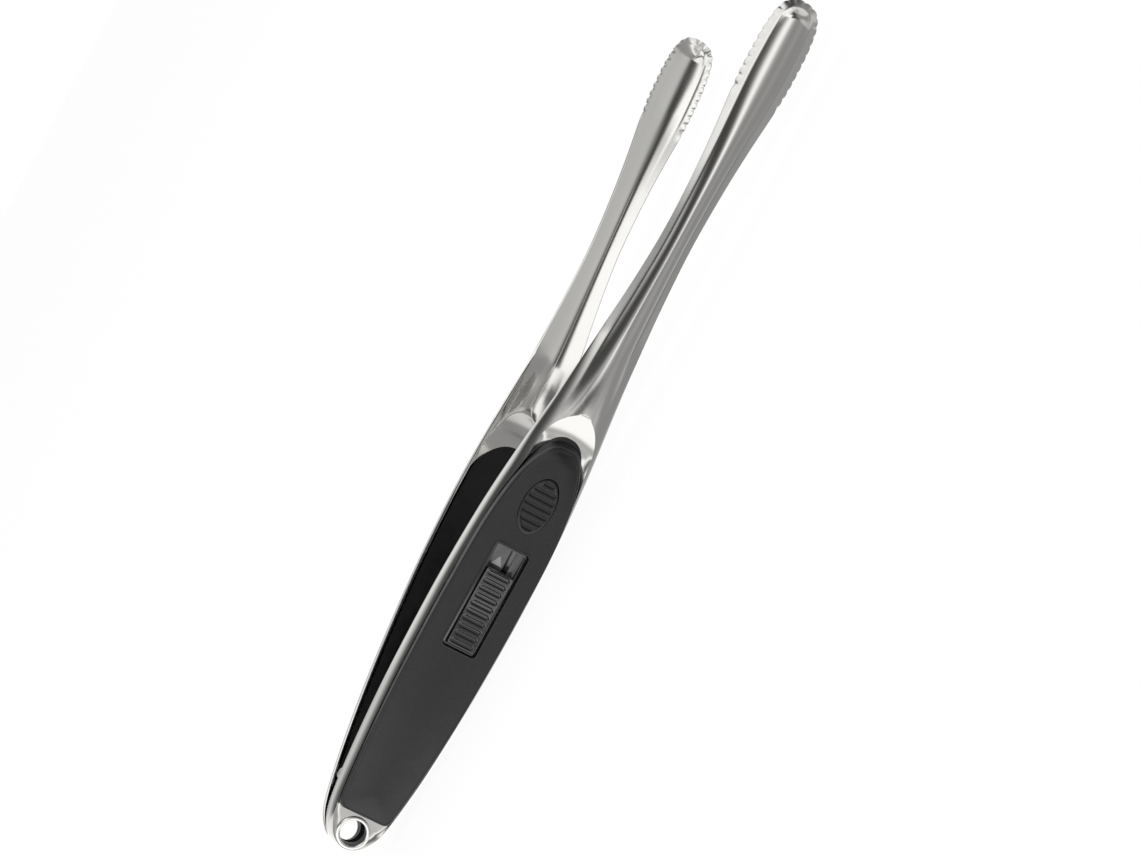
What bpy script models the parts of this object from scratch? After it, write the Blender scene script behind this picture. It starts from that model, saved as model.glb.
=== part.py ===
"""Barbecue tongs with two pressed steel arms, rubber grips and a sliding lock.

The tongs lie on one side. +X runs from the hanging hole to the jaws, the arms open along Y with the
near arm at -Y, and +Z crosses the handle. Metres. Each arm is drawn in its own frame, on an empty on
the hinge axis: u runs along the arm from its tail end, w crosses it, and h stands out from the plane
of its open rim, away from the other arm.
"""

import math

import bmesh
import bpy
from mathutils import Vector

# Arms
ARM_LENGTH = 0.352
HANDLE_WIDTH = 0.0349
SHEET = 0.0011
OPEN_HALF_ANGLE = math.radians(9.5)
SHAFT_BOW = 0.0028
JAW_GAP_CLOSED = 0.0003

# Half width of the arm along its length, as shares of ARM_LENGTH and of half HANDLE_WIDTH
HALF_WIDTH_SHARES = (
    (0.0, 0.0), (0.0114, 0.461), (0.0341, 0.681), (0.0682, 0.792), (0.119, 0.888),
    (0.2045, 0.977), (0.29, 1.0), (0.375, 0.957), (0.46, 0.825), (0.531, 0.656),
    (0.588, 0.534), (0.659, 0.411), (0.73, 0.35), (0.801, 0.388), (0.858, 0.471),
    (0.915, 0.568), (0.949, 0.559), (0.977, 0.503), (0.9957, 0.328), (1.0, 0.0),
)
# Outward bow of the rim along the shaft, as shares of ARM_LENGTH and of SHAFT_BOW
BOW_SHARES = (
    (0.0, 0.0), (0.40, 0.0), (0.50, 0.32), (0.60, 0.69), (0.74, 1.0), (0.88, 0.72), (1.0, 0.0),
)

# Handle section: a rounded wall, a lip, and a floor that the grip fills
LIP_INSET = 0.0019
LIP_FOOT = 0.0009
FLOOR_HEIGHT = 0.0048
BEAD_HEIGHT = 0.0016
BEAD_START = 0.014
BEAD_END = 0.040
TAIL_RIDGE = 0.0125

# Scoop where the handle ends and the ridge of the shaft begins
HANDLE_LENGTH = 0.1826
SCOOP_LENGTH = 0.0136
SCOOP_WALL = 0.0058
SCOOP_FLOOR = 0.0015
SCOOP_RAMP = 0.0110
SCOOP_FLAT = 0.0100
SCOOP_CREST = 0.0098
SHOULDER_LENGTH = 0.030
RIDGE_BLEND_START = 0.0120
RIDGE_BLEND_END = 0.0340

# Shaft and jaw section: a ridge between two flat flanks, with a flange along the jaw
RIDGE_HEIGHT = 0.0094
RIDGE_SHARES = (
    (0.0, 1.0), (0.52, 1.0), (0.57, 0.91), (0.65, 0.79), (0.73, 0.72), (0.81, 0.62),
    (0.88, 0.51), (0.94, 0.46), (0.977, 0.40), (1.0, 0.36),
)
FLANGE_SHARES = ((0.0, 0.14), (0.70, 0.14), (0.80, 0.24), (0.88, 0.35), (1.0, 0.36))
FLANGE_RISE_SHARE = 0.12
CREST_SOFT_SHARE = 0.45
CREST_RING = 0.0008
TIP_RIDGE = 0.0080

# Teeth round the jaw
TEETH_LENGTH = 0.038
TOOTH_PITCH = 0.0036
TOOTH_DEPTH = 0.0006

# Hinge
PIVOT_U = 0.0243
PIVOT_DROP = 0.0054
PIN_RADIUS = 0.0020
PIN_OVERHANG = 0.0011
PIN_HEAD_RADIUS = 0.0032
PIN_HEAD_THICKNESS = 0.0008
EAR_THICKNESS = 0.0012
EAR_RADIUS = 0.0038
EAR_HALF_LENGTH = 0.0045
EAR_WALL_CLEARANCE = 0.0009
BRACKET_HALF_LENGTH = 0.0060
BRACKET_BASE = 0.0010
WASHER_THICKNESS = 0.0006
WASHER_RADIUS = 0.0034
SLEEVE_WALL = 0.0006

# Spring
SPRING_WIRE = 0.0016
SPRING_PITCH = 0.0022
SPRING_LEG = 0.0220
CURL_POINTS = 9

# Clearances and cuts
GAP = 0.0003
CUT_OVERRUN = 0.0010
MERGE = 0.00001

# Hanging hole, the liner's collar through it and the ring round it
HOLE_U = 0.0084
HOLE_RADIUS = 0.0049
COLLAR_WALL = 0.0006
EYELET_SEAT = 0.0005
EYELET_THICKNESS = 0.0006

# Liners
LINER_FACE = 0.0007
LINER_THICKNESS = 0.0013
LINER_GUTTER = 0.0010
LINER_FRONT = 0.0166
LINER_ARCH = 0.0200
LINER_EDGE = 0.0004
STOP_U = 0.0161
STOP_LENGTH = 0.0023
STOP_HALF_WIDTH = 0.0040

# Grips
GRIP_START = 0.0156
GRIP_CORNER = 0.0030
GRIP_FRONT = 0.0108
GRIP_COLLAR_MID = 0.0016
GRIP_COLLAR_TOP = 0.0046
GRIP_ARCH = 0.0218
GRIP_SIDE_STEP = 0.0006
GRIP_MID_RISE = 0.0004
GRIP_SCOOP_MID = 0.0065
GRIP_EDGE_HEIGHT = 0.0106
GRIP_EDGE_SHARES = (
    (0.0, 0.62), (0.044, 0.64), (0.17, 0.86), (0.28, 0.89), (0.38, 0.93), (0.47, 1.0), (1.0, 1.0),
)
GRIP_CROWN = 0.0014
GRIP_RIDGE_TAIL = 0.0100
GRIP_RIDGE_FRONT = 0.0095

# Window in the near grip, slide track and lock slider
WINDOW_LENGTH = 0.0427
WINDOW_SPACE = 0.0065
WINDOW_WIDTH = 0.0139
WINDOW_CORNER = 0.0018
TRACK_WALL = 0.0009
TRACK_FLOOR = 0.0014
TRACK_TOP = 0.0096
SLIDER_LENGTH = 0.0310
SLIDER_BASE = 0.0040
SLIDER_DISH = 0.0010
SLIDER_WALL = 0.0012
RIB_COUNT = 10
RIB_HEIGHT = 0.0007
RIB_TOP_SHARE = 0.45

# Lock hook, its clip, its detent spring and the keeper
HOOK_OFFSET = -0.0019
HOOK_THICKNESS = 0.0018
HOOK_SET_BACK = 0.0103
HOOK_STEM = 0.0050
HOOK_HEAD = 0.0030
HOOK_HEAD_THICKNESS = 0.0014
HOOK_REACH = 0.0062
HOOK_TOE = 0.0060
HOOK_TOE_THICKNESS = 0.0014
CLIP_THICKNESS = 0.0010
CLIP_MARGIN = 0.0020
DETENT_OFFSET = 0.0027
DETENT_WIDTH = 0.0026
DETENT_LENGTH = 0.0180
DETENT_SHEET = 0.0004
DETENT_RISE = 0.0011
KEEPER_BAR = 0.0014
KEEPER_WIDTH = 0.0100
KEEPER_LENGTH = 0.0024
KEEPER_CLEARANCE = 0.0006
KEEPER_FOOT = 0.0032
KEEPER_SPARE = 0.0014

# Thumb rests
THUMB_SET_BACK = 0.0362
THUMB_LENGTH = 0.0220
THUMB_WIDTH = 0.0124
THUMB_DEPTH = 0.0014
THUMB_PROUD = 0.0002
THUMB_RIBS = 7
THUMB_GROOVE = 0.0007
THUMB_RIM = 0.0010

# Liner screws
TAIL_SCREW_U = 0.0450
SCREW_RADIUS = 0.0013
SCREW_HEAD_RADIUS = 0.0024
SCREW_HEAD_HEIGHT = 0.0011
SCREW_BITE = 0.0026

# Mesh fineness
TAIL_STEP = 0.0024
HANDLE_STEP = 0.0080
SCOOP_STEP = 0.0024
SHAFT_STEP = 0.0090
ROUND_SEGMENTS = 20

NEAR = -1
FAR = 1

THUMB_U = HANDLE_LENGTH - THUMB_SET_BACK
WINDOW_START = THUMB_U - THUMB_LENGTH / 2 - WINDOW_SPACE - WINDOW_LENGTH
FRONT_SCREW_U = WINDOW_START + WINDOW_LENGTH + WINDOW_SPACE / 2
SCOOP_CENTRE = HANDLE_LENGTH - SCOOP_LENGTH
SCOOP_FOOT = SCOOP_LENGTH - SCOOP_WALL
CAVITY_LOW = LINER_FACE + LINER_THICKNESS
CAVITY_HIGH = FLOOR_HEIGHT - SHEET
HINGE_SEAT = CAVITY_LOW + GAP + (CAVITY_HIGH - CAVITY_LOW - BRACKET_BASE - GAP) / 2


# Curves through tables


def smooth(x):
    """Rise from 0 to 1 with level ends."""
    x = min(1.0, max(0.0, x))
    return x * x * (3.0 - 2.0 * x)


def through(table, x):
    """Read a table with a curve that never overshoots its points."""
    if x <= table[0][0]:
        return table[0][1]
    if x >= table[-1][0]:
        return table[-1][1]
    slopes = [
        (b[1] - a[1]) / (b[0] - a[0])
        for a, b in zip(table, table[1:])
    ]
    i = max(k for k in range(len(slopes)) if table[k][0] <= x)

    def tangent(k):
        if k == 0:
            return slopes[0]
        if k == len(slopes):
            return slopes[-1]
        before, after = slopes[k - 1], slopes[k]
        if before * after <= 0.0:
            return 0.0
        return 2.0 * before * after / (before + after)

    span = table[i + 1][0] - table[i][0]
    t = (x - table[i][0]) / span
    start, end = table[i][1], table[i + 1][1]
    cubic = 2.0 * t**3 - 3.0 * t**2
    return (
        start * (cubic + 1.0)
        - end * cubic
        + span * tangent(i) * (t**3 - 2.0 * t**2 + t)
        + span * tangent(i + 1) * (t**3 - t**2)
    )


SQUARED_WIDTH_SHARES = tuple((u, w * w) for u, w in HALF_WIDTH_SHARES)


def half_width(u):
    """Half width of an arm at u, squared in between so that both ends are round."""
    return HANDLE_WIDTH / 2 * math.sqrt(max(0.0, through(SQUARED_WIDTH_SHARES, u / ARM_LENGTH)))


def rim_bow(u):
    return SHAFT_BOW * through(BOW_SHARES, u / ARM_LENGTH)


# The arm's surface


def arch(t):
    """Quarter round from the rim, 0, to the middle, 1."""
    return math.sqrt(max(0.0, 1.0 - (1.0 - t) ** 2))


def gable(t, u):
    """Flange, flat flank and softened crest, from the rim to the middle."""
    flange = through(FLANGE_SHARES, u / ARM_LENGTH)
    if t < flange:
        return FLANGE_RISE_SHARE * t / flange
    q = (1.0 - t) / (1.0 - flange)
    full = math.hypot(1.0, CREST_SOFT_SHARE) - CREST_SOFT_SHARE
    drop = (math.hypot(q, CREST_SOFT_SHARE) - CREST_SOFT_SHARE) / full
    return 1.0 - (1.0 - FLANGE_RISE_SHARE) * drop


def lip_height(u):
    return FLOOR_HEIGHT + BEAD_HEIGHT * smooth((u - BEAD_START) / (BEAD_END - BEAD_START))


def floor_height(u):
    """Floor of the handle, which dips into the scoop ahead of the grip."""
    dip_start = HANDLE_LENGTH - SCOOP_FLAT - SCOOP_RAMP
    return FLOOR_HEIGHT + (SCOOP_FLOOR - FLOOR_HEIGHT) * smooth((u - dip_start) / SCOOP_RAMP)


def body_height(u, inset, reach):
    """Height of the arm before the handle is hollowed, at an inset from the rim."""
    t = inset / reach
    handle_crest = lip_height(u) / arch(min(1.0, LIP_INSET / reach))
    shoulder = smooth((u - (HANDLE_LENGTH - SHOULDER_LENGTH)) / (SHOULDER_LENGTH * 3 / 4))
    round_crest = handle_crest + (SCOOP_CREST - handle_crest) * shoulder
    ridge = RIDGE_HEIGHT * through(RIDGE_SHARES, u / ARM_LENGTH)
    blend_start = HANDLE_LENGTH - RIDGE_BLEND_START
    blend = smooth((u - blend_start) / (RIDGE_BLEND_START + RIDGE_BLEND_END))
    return (1.0 - blend) * round_crest * arch(t) + blend * ridge * gable(t, u)


def surface_height(u, inset, reach):
    """Outer height of the arm: its body, hollowed for the grip and by the scoop."""
    lip_half = reach - LIP_INSET
    foot_half = lip_half - LIP_FOOT
    ahead = max(0.0, u - SCOOP_CENTRE)
    across = reach - inset
    if ahead >= SCOOP_LENGTH:
        return body_height(u, inset, reach)
    outer = math.hypot(ahead / SCOOP_LENGTH, across / lip_half)
    if outer >= 1.0:
        return body_height(u, inset, reach)
    lip_across = lip_half * math.sqrt(1.0 - (ahead / SCOOP_LENGTH) ** 2)
    lip = body_height(u, reach - lip_across, reach)
    inner = math.hypot(ahead / SCOOP_FOOT, across / foot_half)
    down = 1.0 if inner <= 1.0 else (1.0 - outer) / (inner - outer)
    low = floor_height(u)
    return low + (lip - low) * (1.0 - down) ** 2


def plain_height(u, inset, reach):
    """The same surface without the bead of the lip, which the inside of the sheet follows."""
    opening = smooth((u - SCOOP_CENTRE) / (SCOOP_LENGTH + SCOOP_STEP))
    cap = floor_height(u) + (SCOOP_CREST - SCOOP_FLOOR) * opening
    return min(surface_height(u, inset, reach), cap)


def ring_insets(u, reach):
    """Insets of the mesh rings: wall, lip, foot and floor, or flange, flank and crest."""
    flange = through(FLANGE_SHARES, u / ARM_LENGTH) * reach
    wall = smooth((u - SCOOP_CENTRE) / (2 * SCOOP_LENGTH))
    first = (1.0 - wall) * LIP_INSET / 5 + wall * flange / 2
    second = (1.0 - wall) * LIP_INSET * 3 / 5 + wall * flange
    ahead = max(0.0, u - SCOOP_CENTRE)
    lip_half = reach - LIP_INSET
    foot_half = lip_half - LIP_FOOT
    lip_share = math.sqrt(max(0.0, 1.0 - (ahead / SCOOP_LENGTH) ** 2))
    foot_share = math.sqrt(max(0.0, 1.0 - (ahead / SCOOP_FOOT) ** 2))
    mid_flank = (reach - flange + 2 * CREST_RING) / 2
    past = smooth((u - HANDLE_LENGTH) / SCOOP_LENGTH)
    lip_ring = max(lip_half * lip_share, 3 * CREST_RING)
    lip_ring += (mid_flank - lip_ring) * past
    foot_ring = max(foot_half * foot_share, 2 * CREST_RING)
    middle_ring = max(foot_half * foot_share / 2, CREST_RING)
    return [0.0, first, second, reach - lip_ring, reach - foot_ring, reach - middle_ring, reach]


def outline_samples():
    """Points (u, w, tooth) along one side of the rim, from the tail's end to the jaw's tip."""
    fine = 400
    dense = []
    for i in range(fine + 1):
        u = ARM_LENGTH * (1.0 - math.cos(math.pi * i / fine)) / 2
        dense.append((u, half_width(u)))
    run = [0.0]
    for a, b in zip(dense, dense[1:]):
        run.append(run[-1] + math.hypot(b[0] - a[0], b[1] - a[1]))

    def at(distance):
        i = max(k for k in range(fine) if run[k] <= distance)
        t = (distance - run[i]) / (run[i + 1] - run[i])
        return tuple(a + (b - a) * t for a, b in zip(dense[i], dense[i + 1]))

    def distance_of(u):
        i = max(k for k in range(fine) if dense[k][0] <= u)
        t = (u - dense[i][0]) / (dense[i + 1][0] - dense[i][0])
        return run[i] + (run[i + 1] - run[i]) * t

    marks = [
        (0.0, TAIL_STEP),
        (distance_of(2 * TAIL_RIDGE), HANDLE_STEP),
        (distance_of(SCOOP_CENTRE - SCOOP_LENGTH), SCOOP_STEP),
        (distance_of(HANDLE_LENGTH + SCOOP_STEP), SHAFT_STEP),
    ]
    teeth_start = distance_of(ARM_LENGTH - TEETH_LENGTH)
    samples = []
    for (start, step), (end, _) in zip(marks, marks[1:] + [(teeth_start, 0.0)]):
        count = max(1, round((end - start) / step))
        for i in range(count):
            samples.append((*at(start + (end - start) * i / count), 0.0))
    half_pitches = 2 * round((run[-1] - teeth_start) / TOOTH_PITCH)
    for i in range(half_pitches + 1):
        distance = teeth_start + (run[-1] - teeth_start) * i / half_pitches
        u, w = at(min(distance, run[-1]))
        samples.append((u, 0.0 if i == half_pitches else w, TOOTH_DEPTH * (i % 2)))
    return samples


# Mesh helpers


def arm_point(side, u, h, w):
    return Vector((u - PIVOT_U, side * (PIVOT_DROP + h), w))


def finish_mesh(bm, name, smooth_faces):
    bmesh.ops.remove_doubles(bm, verts=bm.verts, dist=MERGE)
    bmesh.ops.recalc_face_normals(bm, faces=bm.faces)
    mesh = bpy.data.meshes.new(name)
    bm.to_mesh(mesh)
    bm.free()
    if smooth_faces:
        mesh.shade_smooth()
        mesh.set_sharp_from_angle(angle=math.radians(35))
    return mesh


def loft_rows(bm, rows):
    """Skin a closed loop of ribs; ribs that end on one point share it."""
    shared = {}
    grid = []
    for row in rows:
        verts = [bm.verts.new(p) for p in row[:-1]]
        end = row[-1]
        key = (round(end.x / MERGE), round(end.y / MERGE))
        if key not in shared:
            shared[key] = bm.verts.new(end)
        grid.append(verts + [shared[key]])
    for a, b in zip(grid, grid[1:] + grid[:1]):
        for j in range(len(a) - 1):
            corners = []
            for vert in (a[j], b[j], b[j + 1], a[j + 1]):
                if vert not in corners:
                    corners.append(vert)
            bm.faces.new(corners)
    return grid


def closed_loft(name, upper, lower):
    """A closed body between two lofted skins that share their outline."""
    bm = bmesh.new()
    top = loft_rows(bm, upper)
    bottom = loft_rows(bm, lower)
    for i in range(len(top)):
        j = (i + 1) % len(top)
        bm.faces.new((top[i][0], top[j][0], bottom[j][0], bottom[i][0]))
    return finish_mesh(bm, name, True)


def inward_rows(rows, side, depth):
    """Offset a lofted skin along its normals, towards the open side of the arm."""
    rows = [row[:1] + row[2:5] + row[-1:] for row in rows]
    bm = bmesh.new()
    grid = loft_rows(bm, rows)
    bm.normal_update()
    lean = sum(face.normal.y * face.calc_area() for face in bm.faces) * side
    turn = -depth if lean > 0.0 else depth
    moved = [[vert.co + vert.normal * turn for vert in row] for row in grid]
    bm.free()
    return moved


def add_object(name, mesh, material, parent, collection):
    obj = bpy.data.objects.new(name, mesh)
    if material:
        mesh.materials.clear()
        mesh.materials.append(material)
    obj.parent = parent
    collection.objects.link(obj)
    return obj


def curve_to_mesh(curve, name):
    """Turn a curve into a closed mesh with its caps welded."""
    obj = bpy.data.objects.new(name, curve)
    bpy.context.scene.collection.objects.link(obj)
    graph = bpy.context.evaluated_depsgraph_get()
    mesh = bpy.data.meshes.new_from_object(obj.evaluated_get(graph))
    bpy.data.objects.remove(obj)
    bpy.data.curves.remove(curve)
    bm = bmesh.new()
    bm.from_mesh(mesh)
    bpy.data.meshes.remove(mesh)
    return finish_mesh(bm, name, False)


def flat_mesh(name, loops, thickness):
    """Extrude flat outlines, the first the outside and the rest holes."""
    curve = bpy.data.curves.new(name, "CURVE")
    curve.dimensions = "2D"
    curve.fill_mode = "BOTH"
    curve.extrude = thickness / 2
    for loop in loops:
        spline = curve.splines.new("POLY")
        spline.points.add(len(loop) - 1)
        for point, (x, y) in zip(spline.points, loop):
            point.co = (x, y, 0.0, 1.0)
        spline.use_cyclic_u = True
    return curve_to_mesh(curve, name)


def plan_plate(name, side, loops, low, high, material, parent, collection):
    """A plate with its outline in u and w and its thickness from low to high."""
    shifted = [[(u - PIVOT_U, w) for u, w in loop] for loop in loops]
    mesh = flat_mesh(name, shifted, high - low)
    obj = add_object(name, mesh, material, parent, collection)
    obj.rotation_euler = (math.pi / 2, 0.0, 0.0)
    obj.location = (0.0, side * (PIVOT_DROP + (low + high) / 2), 0.0)
    return obj


def profile_plate(name, side, loops, middle, width, material, parent, collection):
    """A plate with its outline in u and h and its thickness across the arm."""
    placed = [[(u - PIVOT_U, side * (PIVOT_DROP + h)) for u, h in loop] for loop in loops]
    mesh = flat_mesh(name, placed, width)
    obj = add_object(name, mesh, material, parent, collection)
    obj.location = (0.0, 0.0, middle)
    return obj


def cross_plate(name, side, loops, middle, length, material, parent, collection):
    """A plate with its outline in w and h and its thickness along the arm."""
    placed = [[(side * (PIVOT_DROP + h), w) for w, h in loop] for loop in loops]
    mesh = flat_mesh(name, placed, length)
    obj = add_object(name, mesh, material, parent, collection)
    obj.rotation_euler = (math.pi / 2, 0.0, math.pi / 2)
    obj.location = (middle - PIVOT_U, 0.0, 0.0)
    return obj


def rectangle(low, high):
    return [(low[0], low[1]), (high[0], low[1]), (high[0], high[1]), (low[0], high[1])]


def rounded_rectangle(low, high, radius, steps=3):
    """A rectangle whose corners are arcs."""
    corners = (
        (high[0] - radius, high[1] - radius, 0),
        (low[0] + radius, high[1] - radius, 1),
        (low[0] + radius, low[1] + radius, 2),
        (high[0] - radius, low[1] + radius, 3),
    )
    loop = []
    for x, y, quarter in corners:
        for i in range(steps + 1):
            angle = math.pi / 2 * (quarter + i / steps)
            loop.append((x + radius * math.cos(angle), y + radius * math.sin(angle)))
    return loop


def ellipse(centre, half_length, half_across, count):
    return [
        (
            centre[0] + half_length * math.cos(2 * math.pi * i / count),
            centre[1] + half_across * math.sin(2 * math.pi * i / count),
        )
        for i in range(count)
    ]


def turned(name, profile, material, parent, collection, steps=ROUND_SEGMENTS):
    """Turn a profile of radius and height about Z; it runs down its outer side."""
    bm = bmesh.new()
    verts = [bm.verts.new((radius, 0.0, height)) for radius, height in profile]
    after = verts[1:] + (verts[:1] if profile[0][0] > 0.0 else [])
    for a, b in zip(verts, after):
        bm.edges.new((a, b))
    mesh = bpy.data.meshes.new(name)
    bm.to_mesh(mesh)
    bm.free()
    obj = add_object(name, mesh, material, parent, collection)
    screw = obj.modifiers.new("turn", "SCREW")
    screw.steps = steps
    screw.render_steps = steps
    screw.use_merge_vertices = True
    screw.merge_threshold = MERGE
    screw.use_smooth_shade = True
    return obj


def cylinder(name, radius, length, material, parent, collection, segments=ROUND_SEGMENTS):
    """A cylinder along Z about its own middle."""
    bm = bmesh.new()
    bmesh.ops.create_cone(
        bm, cap_ends=True, segments=segments, radius1=radius, radius2=radius, depth=length
    )
    return add_object(name, finish_mesh(bm, name, True), material, parent, collection)


def stand_on_arm(obj, side, u, h, w):
    """Turn an object's Z outward from the arm and set it at a place on it."""
    obj.rotation_euler = (side * -math.pi / 2, 0.0, 0.0)
    obj.location = arm_point(side, u, h, w)


def cut(obj, cutter):
    modifier = obj.modifiers.new("cut_" + cutter.name, "BOOLEAN")
    modifier.operation = "DIFFERENCE"
    modifier.solver = "EXACT"
    modifier.object = cutter
    cutter.hide_render = True
    cutter.display_type = "WIRE"


def join_solid(obj, other):
    modifier = obj.modifiers.new("join_" + other.name, "BOOLEAN")
    modifier.operation = "UNION"
    modifier.solver = "EXACT"
    modifier.object = other
    other.hide_render = True
    other.display_type = "WIRE"


def soften(obj, width, segments=1):
    bevel = obj.modifiers.new("soften", "BEVEL")
    bevel.width = width
    bevel.segments = segments
    bevel.limit_method = "ANGLE"
    bevel.angle_limit = math.radians(50)


# Materials


def material(name, colour, roughness, metallic):
    made = bpy.data.materials.new(name)
    made.use_nodes = True
    shader = made.node_tree.nodes["Principled BSDF"]
    shader.inputs["Base Color"].default_value = (*colour, 1.0)
    shader.inputs["Roughness"].default_value = roughness
    shader.inputs["Metallic"].default_value = metallic
    return made


def start_scene():
    for obj in list(bpy.data.objects):
        bpy.data.objects.remove(obj)
    parts = bpy.data.collections.new("barbecue_tongs")
    cutters = bpy.data.collections.new("cutters")
    for collection in (parts, cutters):
        bpy.context.scene.collection.children.link(collection)
    return parts, cutters


def empty(name, parent, collection):
    made = bpy.data.objects.new(name, None)
    made.parent = parent
    collection.objects.link(made)
    return made


# Arms


def arm_rows(side, height):
    """Ribs from the rim to the middle line, right round the arm."""
    samples = outline_samples()
    loop = [(u, w, tooth) for u, w, tooth in samples]
    loop += [(u, -w, tooth) for u, w, tooth in reversed(samples[1:-1])]
    rows = []
    for u, w, tooth in loop:
        ridge = min(max(u, TAIL_RIDGE), ARM_LENGTH - TIP_RIDGE)
        reach = math.hypot(u - ridge, w)
        row = []
        for index, inset in enumerate(ring_insets(u, reach)):
            along = (inset + (tooth if index == 0 else 0.0)) / reach
            at_u = u + (ridge - u) * along
            at_w = w * (1.0 - along)
            rise = rim_bow(at_u) + height(u, inset, reach)
            row.append(arm_point(side, at_u, rise, at_w))
        rows.append(row)
    return rows


def make_arm(name, side, steel, parent, parts):
    outer = arm_rows(side, surface_height)
    inner = inward_rows(arm_rows(side, plain_height), side, SHEET)
    return add_object(name, closed_loft(name, outer, inner), steel, parent, parts)


def hole_through(side, label, u, w, radius, parent, cutters):
    """A round cutter through everything on one arm."""
    length = 2 * (GRIP_EDGE_HEIGHT + CUT_OVERRUN)
    cutter = cylinder("cut_" + label, radius, length, None, parent, cutters)
    stand_on_arm(cutter, side, u, FLOOR_HEIGHT, w)
    return cutter


# Liners


def liner_outline():
    """Outline of the liner: the rim, set in by the sheet and the gutter, with an arched front."""
    inset = SHEET + LINER_GUTTER
    front = HANDLE_LENGTH - LINER_FRONT
    centre = front - LINER_ARCH
    tail_steps = 7
    side_steps = 9
    arch_steps = 8
    upper = []
    for i in range(tail_steps):
        u = TAIL_RIDGE * (1.0 - math.cos(math.pi / 2 * i / tail_steps))
        w = half_width(u)
        reach = math.hypot(u - TAIL_RIDGE, w)
        share = inset / reach
        upper.append((u + (TAIL_RIDGE - u) * share, w * (1.0 - share)))
    for i in range(side_steps):
        u = TAIL_RIDGE + (centre - TAIL_RIDGE) * i / side_steps
        upper.append((u, half_width(u) - inset))
    for i in range(arch_steps + 1):
        angle = math.pi / 2 * i / arch_steps
        width = half_width(centre) - inset
        upper.append((centre + LINER_ARCH * math.sin(angle), width * math.cos(angle)))
    upper[-1] = (front, 0.0)
    return upper + [(u, -w) for u, w in reversed(upper[1:-1])]


def make_liner(name, side, plastic, parent, parts, cutters):
    face = CAVITY_LOW - LINER_THICKNESS
    obj = plan_plate(name, side, [liner_outline()], face, CAVITY_LOW, plastic, parent, parts)
    soften(obj, LINER_EDGE)
    stop_end = STOP_U + STOP_LENGTH

    def middle(u):
        return -PIVOT_DROP - (u - PIVOT_U) * math.tan(OPEN_HALF_ANGLE) + GAP / 2

    rest = LINER_FACE + LINER_THICKNESS / 2
    outline = [(STOP_U, rest), (STOP_U, middle(STOP_U)), (stop_end, middle(stop_end)), (stop_end, rest)]
    stop = profile_plate(
        name + "_stop", side, [outline], 0.0, 2 * STOP_HALF_WIDTH, None, parent, cutters
    )
    join_solid(obj, stop)
    return obj


# Grips


def grip_loop(side_inset, tail, front):
    """One outline of the grip: square tail with round corners, sides and an arched front."""
    corner_steps = 3
    side_steps = 12
    arch_steps = 8
    centre = HANDLE_LENGTH - GRIP_FRONT - GRIP_ARCH
    arch_length = front - centre

    def across(u):
        return half_width(u) - LIP_INSET - side_inset

    tail_half = across(tail + GRIP_CORNER) - GRIP_CORNER
    upper = [(tail, 0.0), (tail, tail_half / 2)]
    for i in range(corner_steps):
        angle = math.pi / 2 * i / corner_steps
        u = tail + GRIP_CORNER * (1.0 - math.cos(angle))
        upper.append((u, tail_half + GRIP_CORNER * math.sin(angle)))
    for i in range(side_steps):
        u = tail + GRIP_CORNER + (centre - tail - GRIP_CORNER) * i / side_steps
        upper.append((u, across(u)))
    for i in range(arch_steps):
        angle = math.pi / 2 * i / arch_steps
        upper.append((centre + arch_length * math.sin(angle), across(centre) * math.cos(angle)))
    upper.append((front, 0.0))
    return upper + [(u, -w) for u, w in reversed(upper[1:-1])]


def grip_edge(u):
    return GRIP_EDGE_HEIGHT * through(GRIP_EDGE_SHARES, u / ARM_LENGTH)


def grip_top(u, across_share):
    """Height of the grip's crowned top; the share runs from 0 in the middle to 1 at its edge."""
    return grip_edge(u) + GRIP_CROWN * (1.0 - across_share**2)


def grip_rows(side):
    front = HANDLE_LENGTH - GRIP_FRONT
    base = grip_loop(LIP_FOOT + GAP, GRIP_START + GAP, front)
    waist = grip_loop(GAP, GRIP_START, front - GRIP_COLLAR_MID)
    edge = grip_loop(GAP + GRIP_SIDE_STEP, GRIP_START + GAP, front - GRIP_COLLAR_TOP)
    upper = []
    lower = []
    for foot, mid, top in zip(base, waist, edge):
        ridge = min(max(top[0], GRIP_START + GRIP_RIDGE_TAIL), front - GRIP_RIDGE_FRONT)
        scoop = smooth((mid[0] - (HANDLE_LENGTH - SHOULDER_LENGTH)) / SCOOP_LENGTH)
        waist_height = lip_height(mid[0]) + GRIP_MID_RISE
        waist_height += (GRIP_SCOOP_MID - waist_height) * scoop
        row = [arm_point(side, mid[0], rim_bow(mid[0]) + waist_height, mid[1])]
        for share in (1.0, 0.66, 0.33, 0.0):
            u = ridge + (top[0] - ridge) * share
            row.append(arm_point(side, u, rim_bow(u) + grip_top(u, share), top[1] * share))
        upper.append(row)
        row = []
        for share in (1.0, 0.75, 0.5, 0.25, 0.0):
            u = ridge + (foot[0] - ridge) * share
            rise = rim_bow(u) + floor_height(u) + GAP
            row.append(arm_point(side, u, rise, foot[1] * share))
        lower.append(row)
    return upper, lower


def make_grip(name, side, rubber, parent, parts):
    upper, lower = grip_rows(side)
    return add_object(name, closed_loft(name, upper, lower), rubber, parent, parts)


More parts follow.
